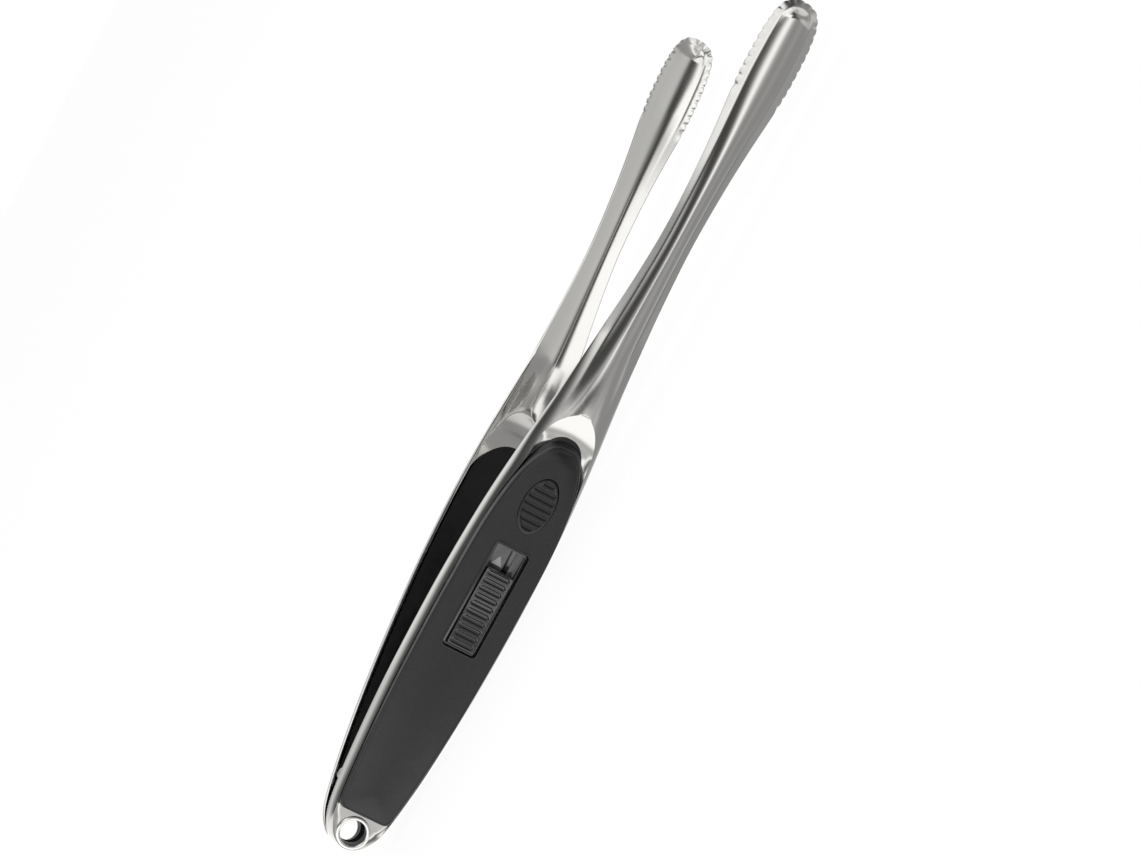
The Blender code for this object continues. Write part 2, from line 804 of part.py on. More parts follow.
def make_thumb_rest(name, side, plastic, grip, parent, parts, cutters):
    """An oval insert with cross ribs, let into the grip."""
    across_share = (THUMB_WIDTH / 2) / half_width(THUMB_U)
    seat = grip_top(THUMB_U, across_share) - THUMB_DEPTH
    top = seat + THUMB_DEPTH + THUMB_PROUD
    oval = ellipse((THUMB_U, 0.0), THUMB_LENGTH / 2, THUMB_WIDTH / 2, 28)
    wide = ellipse((THUMB_U, 0.0), THUMB_LENGTH / 2 + GAP, THUMB_WIDTH / 2 + GAP, 28)
    high = top + GRIP_CROWN + CUT_OVERRUN
    pocket = plan_plate("cut_" + name, side, [wide], seat, high, None, parent, cutters)
    cut(grip, pocket)
    rest = plan_plate(name, side, [oval], seat + GAP, top, plastic, parent, parts)
    pitch = (THUMB_LENGTH - 2 * THUMB_RIM) / (THUMB_RIBS + 1)
    for i in range(THUMB_RIBS):
        u = THUMB_U - THUMB_LENGTH / 2 + THUMB_RIM + pitch * (i + 1)
        along = (u - THUMB_U) / (THUMB_LENGTH / 2)
        half = THUMB_WIDTH / 2 * math.sqrt(1.0 - along**2) - THUMB_RIM
        low = (u - pitch / 4, -half)
        far_corner = (u + pitch / 4, half)
        groove = plan_plate(
            f"cut_{name}_{i}", side, [rounded_rectangle(low, far_corner, pitch / 5, 2)],
            top - THUMB_GROOVE, top + CUT_OVERRUN, None, parent, cutters,
        )
        cut(rest, groove)
    return rest


# Eyelets


def make_eyelet(name, side, steel, parent, parts):
    """A bright ring on the arm round the mouth of the hanging hole."""
    inner = HOLE_RADIUS
    outer = HOLE_RADIUS + COLLAR_WALL + GAP + EYELET_SEAT
    bottom = FLOOR_HEIGHT + GAP
    top = bottom + EYELET_THICKNESS
    soft = EYELET_THICKNESS / 2
    profile = [
        (outer - soft, top),
        (outer, top - soft),
        (outer, bottom),
        (inner, bottom),
        (inner, top - soft),
        (inner + soft, top),
    ]
    obj = turned(name, profile, steel, parent, parts)
    stand_on_arm(obj, side, HOLE_U, 0.0, 0.0)
    return obj


# Hinge


def ear_outline(seat):
    """A hinge ear in u and h: a straight root and a round end about the pin."""
    steps = 10
    loop = [(PIVOT_U - EAR_HALF_LENGTH, seat), (PIVOT_U - EAR_RADIUS, -PIVOT_DROP)]
    for i in range(1, steps):
        angle = math.pi * i / steps
        u = PIVOT_U - EAR_RADIUS * math.cos(angle)
        loop.append((u, -PIVOT_DROP - EAR_RADIUS * math.sin(angle)))
    loop += [(PIVOT_U + EAR_RADIUS, -PIVOT_DROP), (PIVOT_U + EAR_HALF_LENGTH, seat)]
    return loop


def ear_middles():
    """Middle of the near arm's ears, of the washers and of the far arm's ears across the hinge."""
    narrow = half_width(PIVOT_U - BRACKET_HALF_LENGTH) - SHEET - EAR_WALL_CLEARANCE
    far_ear = narrow - GAP - EAR_THICKNESS / 2
    washer = far_ear - EAR_THICKNESS / 2 - GAP - WASHER_THICKNESS / 2
    near_ear = washer - WASHER_THICKNESS / 2 - GAP - EAR_THICKNESS / 2
    return near_ear, washer, far_ear


def make_bracket(name, side, ear_middle, steel, parent, parts, cutters):
    seat = HINGE_SEAT
    outer = ear_middle + EAR_THICKNESS / 2
    half = outer - GAP
    low = (PIVOT_U - BRACKET_HALF_LENGTH, -half)
    high = (PIVOT_U + BRACKET_HALF_LENGTH, half)
    base = plan_plate(
        name, side, [rectangle(low, high)], seat, seat + BRACKET_BASE, steel, parent, parts
    )
    for sign in (-1, 1):
        ear = profile_plate(
            f"{name}_ear_{sign + 1}", side, [ear_outline(seat + BRACKET_BASE / 2)],
            sign * ear_middle, EAR_THICKNESS, None, parent, cutters,
        )
        join_solid(base, ear)
    bore = cylinder("cut_bore_" + name, PIN_RADIUS + GAP, 4 * outer, None, parent, cutters)
    cut(base, bore)
    return base


def ear_slots(side, liner, ear_middle, parent, cutters):
    """Slots in the liner that the hinge ears pass through."""
    half = EAR_THICKNESS / 2 + GAP
    for sign in (-1, 1):
        low = (PIVOT_U - EAR_HALF_LENGTH - GAP, sign * ear_middle - half)
        high = (PIVOT_U + EAR_HALF_LENGTH + GAP, sign * ear_middle + half)
        slot = plan_plate(
            f"cut_{liner.name}_ear_{sign + 1}", side, [rectangle(low, high)],
            LINER_FACE - CUT_OVERRUN, CAVITY_LOW + CUT_OVERRUN, None, parent, cutters,
        )
        cut(liner, slot)


def make_ring(name, inner, outer, thickness, middle, material_used, parent, parts):
    """A washer or a sleeve on the pin's axis."""
    half = thickness / 2
    profile = [(outer, middle + half), (outer, middle - half), (inner, middle - half), (inner, middle + half)]
    return turned(name, profile, material_used, parent, parts)


def make_pin(name, far_ear, steel, frame, parts):
    """The hinge pin: a shank with a head at its lower end, past the far arm's ears."""
    ear_face = far_ear + EAR_THICKNESS / 2
    head_low = -(ear_face + GAP + PIN_HEAD_THICKNESS)
    end = ear_face + GAP + PIN_HEAD_THICKNESS + PIN_OVERHANG
    rim = PIN_HEAD_THICKNESS / 3
    profile = [
        (0.0, end),
        (PIN_RADIUS - rim, end),
        (PIN_RADIUS, end - rim),
        (PIN_RADIUS, head_low + PIN_HEAD_THICKNESS),
        (PIN_HEAD_RADIUS, head_low + PIN_HEAD_THICKNESS),
        (PIN_HEAD_RADIUS, head_low + rim),
        (PIN_HEAD_RADIUS - rim, head_low),
        (0.0, head_low),
    ]
    return turned(name, profile, steel, frame, parts)


def spring_route(mean_radius, leg_end, room):
    """Points of the torsion spring: a leg, the coil about the pin, and the other leg."""
    slope = math.asin((leg_end - mean_radius) / SPRING_LEG)
    lean = OPEN_HALF_ANGLE + slope
    lost = 0.5 + lean / math.pi
    turns = math.floor((room - SPRING_WIRE) / SPRING_PITCH + lost) - lost
    start = -math.pi / 2 - lean
    end = start - 2 * math.pi * turns
    count = round(turns * CURL_POINTS)
    width = turns * SPRING_PITCH
    near_way = Vector((math.cos(lean), -math.sin(lean), 0.0))
    far_way = Vector((math.cos(lean), math.sin(lean), 0.0))
    coil = []
    for i in range(count + 1):
        angle = start + (end - start) * i / count
        height = width * (i / count - 0.5)
        coil.append(Vector((mean_radius * math.cos(angle), mean_radius * math.sin(angle), height)))
    near_leg = [coil[0] + near_way * SPRING_LEG * share for share in (1.0, 0.6, 0.25)]
    far_leg = [coil[-1] + far_way * SPRING_LEG * share for share in (0.25, 0.6, 1.0)]
    return near_leg + coil + far_leg


def least_gap(points, skip):
    """Least clear distance of a wire to itself, read on points along it."""
    fine = []
    for a, b in zip(points, points[1:]):
        for i in range(4):
            fine.append(a.lerp(b, i / 4))
    nearest = None
    for i, a in enumerate(fine):
        for b in fine[i + 4 * skip:]:
            distance = (a - b).length
            if nearest is None or distance < nearest:
                nearest = distance
    return nearest - SPRING_WIRE


def make_spring(name, room, steel, frame, parts):
    sleeve_outer = PIN_RADIUS + GAP + SLEEVE_WALL
    mean_radius = sleeve_outer + GAP + SPRING_WIRE / 2
    leg_end = PIVOT_DROP + LINER_FACE - GAP - SPRING_WIRE / 2
    route = spring_route(mean_radius, leg_end, room)
    clear = least_gap(route, CURL_POINTS // 2)
    print("torsion spring: least gap to itself", round(clear * 1000, 2), "mm")
    curve = bpy.data.curves.new(name, "CURVE")
    curve.dimensions = "3D"
    curve.bevel_depth = SPRING_WIRE / 2
    curve.bevel_resolution = 1
    curve.use_fill_caps = True
    spline = curve.splines.new("POLY")
    spline.points.add(len(route) - 1)
    for point, place in zip(spline.points, route):
        point.co = (*place, 1.0)
    mesh = curve_to_mesh(curve, name)
    mesh.shade_smooth()
    mesh.set_sharp_from_angle(angle=math.radians(60))
    return add_object(name, mesh, steel, frame, parts)


# Lock


def window_box():
    half = WINDOW_WIDTH / 2
    return (WINDOW_START, -half), (WINDOW_START + WINDOW_LENGTH, half)


def slider_start():
    return WINDOW_START + 2 * GAP + TRACK_WALL


def slider_travel():
    inside = WINDOW_LENGTH - 4 * GAP - 2 * TRACK_WALL
    return inside - SLIDER_LENGTH


def slider_half_width():
    return WINDOW_WIDTH / 2 - 2 * GAP - TRACK_WALL


def hook_start():
    return slider_start() + HOOK_SET_BACK


def slot_box(clearance):
    """The slot that the hook's stem travels in, through the track, the arm and the liner."""
    start = hook_start() - clearance
    end = hook_start() + HOOK_STEM + slider_travel() + clearance
    half = HOOK_THICKNESS / 2 + clearance
    return (start, HOOK_OFFSET - half), (end, HOOK_OFFSET + half)


def make_track(name, plastic, parent, parts, cutters):
    low, high = window_box()
    outer = rounded_rectangle(
        (low[0] + GAP, low[1] + GAP), (high[0] - GAP, high[1] - GAP), WINDOW_CORNER - GAP
    )
    base = FLOOR_HEIGHT + GAP
    track = plan_plate(name, NEAR, [outer], base, TRACK_TOP, plastic, parent, parts)
    wall = GAP + TRACK_WALL
    well = plan_plate(
        "cut_track_well", NEAR,
        [rectangle((low[0] + wall, low[1] + wall), (high[0] - wall, high[1] - wall))],
        base + TRACK_FLOOR, TRACK_TOP + CUT_OVERRUN, None, parent, cutters,
    )
    cut(track, well)
    return track


def rib_profile():
    """The slider's side outline: a flat base and a dished top with cross ribs."""
    start = slider_start()
    low = FLOOR_HEIGHT + GAP + TRACK_FLOOR + GAP
    top = low + SLIDER_BASE
    pitch = SLIDER_LENGTH / RIB_COUNT

    def dish(u):
        share = 2.0 * (u - start) / SLIDER_LENGTH - 1.0
        return top - SLIDER_DISH * (1.0 - share**2)

    loop = [(start, low)]
    for i in range(RIB_COUNT):
        u = start + pitch * i
        crest = u + pitch * RIB_TOP_SHARE
        flank = pitch * (1.0 - RIB_TOP_SHARE) / 4
        loop.append((u, dish(u) + RIB_HEIGHT))
        loop.append((crest, dish(crest) + RIB_HEIGHT))
        loop.append((crest + flank, dish(crest + flank)))
        loop.append((u + pitch - flank, dish(u + pitch - flank)))
    loop.append((start + SLIDER_LENGTH, top))
    loop.append((start + SLIDER_LENGTH, low))
    return loop, low


def hook_pocket(low):
    """Pocket in the slider that holds the hook's head: its start, end and ceiling."""
    start = hook_start() - HOOK_HEAD - GAP
    end = hook_start() + HOOK_STEM + HOOK_HEAD + GAP
    return start, end, low + HOOK_HEAD_THICKNESS + 3 * GAP


def make_slider(name, plastic, parent, parts, cutters):
    outline, low = rib_profile()
    half = slider_half_width()
    slider = profile_plate(name, NEAR, [outline], 0.0, 2 * half, plastic, parent, parts)
    start, end, ceiling = hook_pocket(low)
    head_half = HOOK_THICKNESS / 2 + GAP
    pocket = plan_plate(
        "cut_slider_hook", NEAR,
        [rectangle((start, HOOK_OFFSET - head_half), (end, HOOK_OFFSET + head_half))],
        low - CUT_OVERRUN, ceiling, None, parent, cutters,
    )
    cut(slider, pocket)
    middle = slider_start() + SLIDER_LENGTH / 2
    leaf_half = DETENT_WIDTH / 2 + GAP
    leaf_reach = DETENT_LENGTH / 2 + GAP
    leaf_top = low + DETENT_RISE + DETENT_SHEET + GAP
    leaf_pocket = plan_plate(
        "cut_slider_detent", NEAR,
        [rectangle(
            (middle - leaf_reach, DETENT_OFFSET - leaf_half),
            (middle + leaf_reach, DETENT_OFFSET + leaf_half),
        )],
        low - CUT_OVERRUN, leaf_top, None, parent, cutters,
    )
    cut(slider, leaf_pocket)
    return slider


def make_detent(name, steel, parent, parts):
    """A bowed leaf in the slider that bears on the track's floor."""
    low = FLOOR_HEIGHT + GAP + TRACK_FLOOR + GAP
    middle = slider_start() + SLIDER_LENGTH / 2
    steps = 8
    under = []
    over = []
    for i in range(steps + 1):
        share = 2.0 * i / steps - 1.0
        u = middle + share * DETENT_LENGTH / 2
        h = low + DETENT_RISE * share**2
        under.append((u, h))
        over.append((u, h + DETENT_SHEET))
    outline = under + list(reversed(over))
    return profile_plate(name, NEAR, [outline], DETENT_OFFSET, DETENT_WIDTH, steel, parent, parts)


def make_hook(name, steel, parent, parts):
    """A flat steel hook: head in the slider, stem through the arm, toe towards the jaws."""
    _, slider_low = rib_profile()
    back = hook_start()
    front = back + HOOK_STEM
    head_low = slider_low + GAP
    head_high = head_low + HOOK_HEAD_THICKNESS
    foot = -HOOK_REACH
    outline = [
        (back - HOOK_HEAD, head_low),
        (back, head_low),
        (back, foot),
        (front + HOOK_TOE, foot),
        (front + HOOK_TOE, foot + HOOK_TOE_THICKNESS),
        (front, foot + HOOK_TOE_THICKNESS),
        (front, head_low),
        (front + HOOK_HEAD, head_low),
        (front + HOOK_HEAD, head_high),
        (back - HOOK_HEAD, head_high),
    ]
    return profile_plate(name, NEAR, [outline], HOOK_OFFSET, HOOK_THICKNESS, steel, parent, parts)


def make_clip(name, steel, parent, parts):
    """A clip on the hook's stem, inside the arm, which keeps the slider down."""
    low = CAVITY_LOW + (CAVITY_HIGH - CAVITY_LOW - CLIP_THICKNESS) / 2
    half = HOOK_THICKNESS / 2
    back = hook_start()
    front = back + HOOK_STEM
    outer = rectangle(
        (back - CLIP_MARGIN, HOOK_OFFSET - half - CLIP_MARGIN),
        (front + CLIP_MARGIN, HOOK_OFFSET + half + CLIP_MARGIN),
    )
    hole = rectangle(
        (back - GAP, HOOK_OFFSET - half - GAP), (front + GAP, HOOK_OFFSET + half + GAP)
    )
    loops = [outer, list(reversed(hole))]
    return plan_plate(name, NEAR, loops, low, low + CLIP_THICKNESS, steel, parent, parts)


def closing_lean():
    """Angle past parallel at which the jaws' edges meet."""
    inside = PIVOT_DROP + rim_bow(ARM_LENGTH) - SHEET - JAW_GAP_CLOSED / 2
    return math.asin(inside / (ARM_LENGTH - PIVOT_U))


def make_keeper(name, steel, parent, parts):
    """A bridge on the far arm that the hook's toe slides under when the tongs are shut."""
    lean = closing_lean()
    bar_u = hook_start() + HOOK_STEM + slider_travel() + GAP + KEEPER_LENGTH / 2
    rims_apart = 2 * (PIVOT_DROP * math.cos(lean) - (bar_u - PIVOT_U) * math.sin(lean))
    toe_top = rims_apart - HOOK_REACH + HOOK_TOE_THICKNESS
    bar_low = -(toe_top + KEEPER_CLEARANCE + KEEPER_BAR)
    bar_high = bar_low + KEEPER_BAR
    half = KEEPER_WIDTH / 2
    foot_low = CAVITY_LOW + GAP
    foot_high = foot_low + CLIP_THICKNESS
    wall = KEEPER_BAR
    right = [
        (half, bar_low), (half, foot_low), (half + KEEPER_FOOT, foot_low),
        (half + KEEPER_FOOT, foot_high), (half - wall, foot_high), (half - wall, bar_high),
    ]
    left = [(-w, h) for w, h in reversed(right)]
    outline = [(w + HOOK_OFFSET, h) for w, h in right + left]
    keeper = cross_plate(name, FAR, [outline], bar_u, KEEPER_LENGTH, steel, parent, parts)
    return keeper, bar_u


def keeper_slots(liner, bar_u, parent, cutters):
    half = KEEPER_WIDTH / 2
    for sign in (-1, 1):
        outer = HOOK_OFFSET + sign * (half + GAP)
        inner = HOOK_OFFSET + sign * (half - KEEPER_BAR - GAP)
        low = (bar_u - KEEPER_LENGTH / 2 - GAP, min(outer, inner))
        high = (bar_u + KEEPER_LENGTH / 2 + GAP, max(outer, inner))
        slot = plan_plate(
            f"cut_keeper_{sign + 1}", FAR, [rectangle(low, high)],
            LINER_FACE - CUT_OVERRUN, CAVITY_LOW + CUT_OVERRUN, None, parent, cutters,
        )
        cut(liner, slot)


# Screws


def screw_profile():
    head_low = LINER_FACE - GAP - SCREW_HEAD_HEIGHT
    seat = LINER_FACE - GAP
    tip = FLOOR_HEIGHT + GAP + SCREW_BITE
    return [
        (0.0, tip),
        (SCREW_RADIUS / 2, tip),
        (SCREW_RADIUS, tip - SCREW_RADIUS / 2),
        (SCREW_RADIUS, seat),
        (SCREW_HEAD_RADIUS, seat),
        (SCREW_HEAD_RADIUS, head_low + SCREW_HEAD_HEIGHT / 3),
        (SCREW_HEAD_RADIUS * 3 / 4, head_low),
        (0.0, head_low),
    ]


def make_screw(name, side, u, steel, parent, parts):
    screw = turned(name, screw_profile(), steel, parent, parts, 12)
    stand_on_arm(screw, side, u, 0.0, 0.0)
    return screw


# Assembly


def make_side(label, side, metals, pivot, parts, cutters):
    """One arm with its liner, grip, thumb rest, eyelet, bracket and screws."""
    steel, rubber, plastic, gloss, plated = metals
    arm = make_arm(label + "_arm", side, steel, pivot, parts)
    liner = make_liner(label + "_liner", side, plastic, pivot, parts, cutters)
    grip = make_grip(label + "_grip", side, rubber, pivot, parts)
    make_thumb_rest(label + "_thumb_rest", side, gloss, grip, pivot, parts, cutters)
    make_eyelet(label + "_hang_eyelet", side, steel, pivot, parts)
    collar_radius = HOLE_RADIUS + COLLAR_WALL
    collar_low = LINER_FACE + LINER_THICKNESS / 2
    collar_length = FLOOR_HEIGHT - collar_low
    collar = cylinder(label + "_collar", collar_radius, collar_length, None, pivot, cutters)
    stand_on_arm(collar, side, HOLE_U, collar_low + collar_length / 2, 0.0)
    join_solid(liner, collar)
    for piece, radius in ((arm, collar_radius + GAP), (liner, HOLE_RADIUS)):
        cut(piece, hole_through(side, piece.name + "_hole", HOLE_U, 0.0, radius, pivot, cutters))
    near_ear, _, far_ear = ear_middles()
    ear_middle = near_ear if side == NEAR else far_ear
    make_bracket(label + "_hinge_bracket", side, ear_middle, plated, pivot, parts, cutters)
    ear_slots(side, liner, ear_middle, pivot, cutters)
    low = LINER_FACE - CUT_OVERRUN
    high = FLOOR_HEIGHT + 2 * GAP + SCREW_BITE
    for i, u in enumerate((TAIL_SCREW_U, FRONT_SCREW_U)):
        length = high - low
        hole = cylinder(
            f"cut_{label}_screw_{i}", SCREW_RADIUS + GAP, length, None, pivot, cutters, 12
        )
        stand_on_arm(hole, side, u, (low + high) / 2, 0.0)
        for piece in (arm, liner, grip):
            cut(piece, hole)
        make_screw(f"{label}_liner_screw_{i + 1}", side, u, plated, pivot, parts)
    return arm, liner, grip


def make_lock(near, far, gloss, plastic, plated, pivots, parts, cutters):
    """The slide track, slider, hook, clip and detent on the near arm, and the far arm's keeper."""
    arm, liner, grip = near
    near_pivot, far_pivot = pivots
    low, high = window_box()
    window = plan_plate(
        "cut_window", NEAR, [rounded_rectangle(low, high, WINDOW_CORNER)],
        FLOOR_HEIGHT - CUT_OVERRUN, GRIP_EDGE_HEIGHT + GRIP_CROWN + CUT_OVERRUN,
        None, near_pivot, cutters,
    )
    cut(grip, window)
    track = make_track("slide_track", plastic, near_pivot, parts, cutters)
    make_slider("lock_slider", gloss, near_pivot, parts, cutters)
    make_detent("detent_spring", plated, near_pivot, parts)
    make_hook("lock_hook", plated, near_pivot, parts)
    make_clip("hook_clip", plated, near_pivot, parts)
    slot_low, slot_high = slot_box(GAP)
    slot = plan_plate(
        "cut_hook_slot", NEAR, [rectangle(slot_low, slot_high)],
        LINER_FACE - CUT_OVERRUN, TRACK_TOP, None, near_pivot, cutters,
    )
    for piece in (arm, liner, track):
        cut(piece, slot)
    _, bar_u = make_keeper("lock_keeper", plated, far_pivot, parts)
    keeper_slots(far[1], bar_u, far_pivot, cutters)


def make_hinge(plated, nylon, spring_steel, frame, parts):
    """Pin, push nut, washers, sleeve and spring on the hinge's axis."""
    near_ear, washer, far_ear = ear_middles()
    make_pin("hinge_pin", far_ear, plated, frame, parts)
    nut_middle = far_ear + EAR_THICKNESS / 2 + GAP + PIN_HEAD_THICKNESS / 2
    make_ring(
        "pin_push_nut", PIN_RADIUS + GAP, PIN_HEAD_RADIUS, PIN_HEAD_THICKNESS, nut_middle,
        spring_steel, frame, parts,
    )
    for label, sign in (("lower", -1), ("upper", 1)):
        make_ring(
            label + "_hinge_washer", PIN_RADIUS + GAP, WASHER_RADIUS, WASHER_THICKNESS,
            sign * washer, nylon, frame, parts,
        )
    sleeve_length = 2 * (near_ear - EAR_THICKNESS / 2 - GAP)
    make_ring(
        "spring_sleeve", PIN_RADIUS + GAP, PIN_RADIUS + GAP + SLEEVE_WALL, sleeve_length, 0.0,
        nylon, frame, parts,
    )
    make_spring("torsion_spring", sleeve_length - 2 * GAP, spring_steel, frame, parts)


def stand_on_floor(frame, parts):
    """Put the middle of the underside of the whole at the origin."""
    bpy.context.view_layer.update()
    corners = [
        obj.matrix_world @ vert.co
        for obj in parts.objects if obj.type == "MESH" and obj.name.endswith("_arm")
        for vert in obj.data.vertices
    ]
    low = [min(point[axis] for point in corners) for axis in range(3)]
    high = [max(point[axis] for point in corners) for axis in range(3)]
    frame.location = (-(low[0] + high[0]) / 2, -(low[1] + high[1]) / 2, -low[2])
    bpy.context.view_layer.update()


def main():
    parts, cutters = start_scene()
    steel = material("polished_steel", (0.62, 0.62, 0.61), 0.12, 1.0)
    rubber = material("black_rubber", (0.022, 0.022, 0.023), 0.75, 0.0)
    plastic = material("black_plastic", (0.010, 0.010, 0.011), 0.40, 0.0)
    gloss = material("gloss_black_plastic", (0.014, 0.014, 0.015), 0.18, 0.0)
    plated = material("plated_steel", (0.55, 0.55, 0.54), 0.30, 1.0)
    nylon = material("nylon", (0.60, 0.58, 0.53), 0.45, 0.0)
    frame = empty("hinge_axis", None, parts)
    near_pivot = empty("near_pivot", frame, parts)
    far_pivot = empty("far_pivot", frame, parts)
    near_pivot.rotation_euler = (0.0, 0.0, -OPEN_HALF_ANGLE)
    far_pivot.rotation_euler = (0.0, 0.0, OPEN_HALF_ANGLE)
    metals = (steel, rubber, plastic, gloss, plated)
    near = make_side("near", NEAR, metals, near_pivot, parts, cutters)
    far = make_side("far", FAR, metals, far_pivot, parts, cutters)
    make_lock(near, far, gloss, plastic, plated, (near_pivot, far_pivot), parts, cutters)
    make_hinge(plated, nylon, plated, frame, parts)
    stand_on_floor(frame, parts)
    shut = math.degrees(2 * (OPEN_HALF_ANGLE + closing_lean()))
    print("hinge at", [round(x, 5) for x in frame.location], "shuts at", round(shut, 3), "degrees")
    print("lock slider travel", round(slider_travel() * 1000, 2), "mm")


main()
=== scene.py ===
"""Barbecue tongs with steel arms, rubber grips and a sliding lock, dressed for a studio picture.

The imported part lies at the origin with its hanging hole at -X, its jaws at +X and its near arm at -Y.
Each arm is drawn in its own frame: u runs along it from the tail, w crosses it, and h stands out from
the plane of its open rim, away from the other arm. Lengths are metres.
"""

import math

import bmesh
import bpy
import numpy as np
from mathutils import Matrix, Vector


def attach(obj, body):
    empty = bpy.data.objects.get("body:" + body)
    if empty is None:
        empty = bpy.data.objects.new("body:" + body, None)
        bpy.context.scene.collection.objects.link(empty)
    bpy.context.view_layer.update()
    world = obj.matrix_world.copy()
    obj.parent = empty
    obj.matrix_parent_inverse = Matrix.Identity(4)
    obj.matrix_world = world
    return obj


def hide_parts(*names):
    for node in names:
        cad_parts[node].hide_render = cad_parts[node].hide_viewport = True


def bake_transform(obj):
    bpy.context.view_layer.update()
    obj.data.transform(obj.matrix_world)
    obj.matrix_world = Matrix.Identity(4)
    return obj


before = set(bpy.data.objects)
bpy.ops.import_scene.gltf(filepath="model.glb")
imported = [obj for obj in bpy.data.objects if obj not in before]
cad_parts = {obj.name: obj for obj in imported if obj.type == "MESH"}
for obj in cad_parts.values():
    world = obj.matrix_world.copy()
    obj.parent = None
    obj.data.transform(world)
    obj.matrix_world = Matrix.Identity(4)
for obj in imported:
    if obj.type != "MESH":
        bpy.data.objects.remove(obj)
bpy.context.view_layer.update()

NEAR = -1
FAR = 1

# Place of the hinge and how far each arm leans out from the middle plane
HINGE = Vector((-0.14873, 0.0, 0.01744))
OPEN_HALF_ANGLE = math.radians(9.5)
PIVOT_U = 0.0243
PIVOT_DROP = 0.0054

# Sheet metal arms
ARM_LENGTH = 0.352
HANDLE_WIDTH = 0.0349
SHEET = 0.0011
SHAFT_BOW = 0.0028
RIM_ROUND = 0.00018
TAIL_RIDGE = 0.0125
TIP_RIDGE = 0.0080
EDGE_SHARES = (0.95, 0.75, 0.5, 0.25, 0.05)

# Steps that the rim is measured in, and spacing of the mesh along it; the scoop's fine spacing runs
# on a little past the handle
RIM_STEPS = 1600
TAIL_STEP = 0.0010
HANDLE_STEP = 0.0030
SCOOP_STEP = 0.0007
SHAFT_STEP = 0.0025
SCOOP_STEP_RUN = 0.0040

# Half width of the arm, as shares of ARM_LENGTH and of half HANDLE_WIDTH
HALF_WIDTH_SHARES = (
    (0.0, 0.0), (0.0114, 0.461), (0.0341, 0.681), (0.0682, 0.792), (0.119, 0.888),
    (0.2045, 0.977), (0.29, 1.0), (0.375, 0.957), (0.46, 0.825), (0.531, 0.656),
    (0.588, 0.534), (0.659, 0.411), (0.73, 0.35), (0.801, 0.388), (0.858, 0.471),
    (0.915, 0.568), (0.949, 0.559), (0.977, 0.503), (0.9957, 0.328), (1.0, 0.0),
)

# Outward bow of the rim and height of the ridge, as shares of SHAFT_BOW and RIDGE_HEIGHT along the arm
BOW_SHARES = (
    (0.0, 0.0), (0.40, 0.0), (0.50, 0.32), (0.60, 0.69), (0.74, 1.0), (0.88, 0.72), (1.0, 0.0),
)
RIDGE_SHARES = (
    (0.0, 1.0), (0.52, 1.0), (0.57, 0.89), (0.65, 0.74), (0.73, 0.65), (0.81, 0.58),
    (0.88, 0.50), (0.94, 0.46), (0.977, 0.40), (1.0, 0.36),
)

# Handle: rounded wall, lip and floor
LIP_INSET = 0.0019
LIP_FOOT = 0.0009
LIP_SPREAD = 0.0011
FOOT_SPREAD = 0.0034
TAIL_FOOT_SPREAD = 0.0015
TAIL_SPREAD_END = 0.0154
TAIL_SPREAD_FADE = 0.0060
SPREAD_START = 0.140
SPREAD_LENGTH = 0.024
FLOOR_HEIGHT = 0.0048
BEAD_HEIGHT = 0.0016
TAIL_LIP = 0.0005
BEAD_START = 0.014
BEAD_END = 0.040

# Scoop between the handle and the ridge of the shaft
HANDLE_LENGTH = 0.1826
SCOOP_LENGTH = 0.0136
SCOOP_WALL = 0.0102
SCOOP_SWEEP = 1.50
SCOOP_FLOOR = 0.0060
SCOOP_RAMP = 0.0110
SCOOP_FLAT = 0.0100
SCOOP_CREST = 0.0091
SHOULDER_LENGTH = 0.030
RIDGE_BLEND_START = 0.0120
RIDGE_BLEND_END = 0.0340
SCOOP_RUN_OUT = 0.0024
SCOOP_CENTRE = HANDLE_LENGTH - SCOOP_LENGTH
SCOOP_FOOT = SCOOP_LENGTH - SCOOP_WALL

# Shaft and jaw: a ridge between two flat flanks, with a flange along the edge
RIDGE_HEIGHT = 0.0094
FLANGE_SHARE = 0.34
FLANGE_RISE_SHARE = 0.20
FLANK_POWER = 2.4
BEND_SOFT_SHARE = 0.03
CREST_RING = 0.0008
CREST_SHIFT = 0.0009
CREST_SHIFT_START = 0.184
CREST_SHIFT_LENGTH = 0.030

# Inside of the shaft and jaw: a rounded V
VALLEY_SOFT_SHARE = 0.30
VALLEY_DEPTH_SHARE = 0.42
VALLEY_CREST_SHEET = 0.0004
VALLEY_SHEET_SHARE = 0.32
VALLEY_START = 0.1830
VALLEY_FADE = 0.0220
VALLEY_SOFT = 0.0003
INNER_STEPS = 30
INNER_POWER = 1.5

# Line of the outside that the sheet's thickness is rolled under: how finely it is drawn, how far in
# from the rim its slope is read, and how it carries on past the rim and past the middle
OUTER_STEPS = 240
OUTER_POWER = 1.6
RIM_SLOPE_INSET = 0.0004
RUN_IN_STEPS = 60
RUN_IN_LAST_SHARE = 0.01
RUN_OUT_STEPS = 90

# Scalloped teeth round the jaw
TEETH_LENGTH = 0.038
TOOTH_PITCH = 0.0036
TOOTH_DEPTH = 0.00042
TOOTH_FADE = 0.0020
TOOTH_STEPS = 8
TOOTH_POWER = 1.3

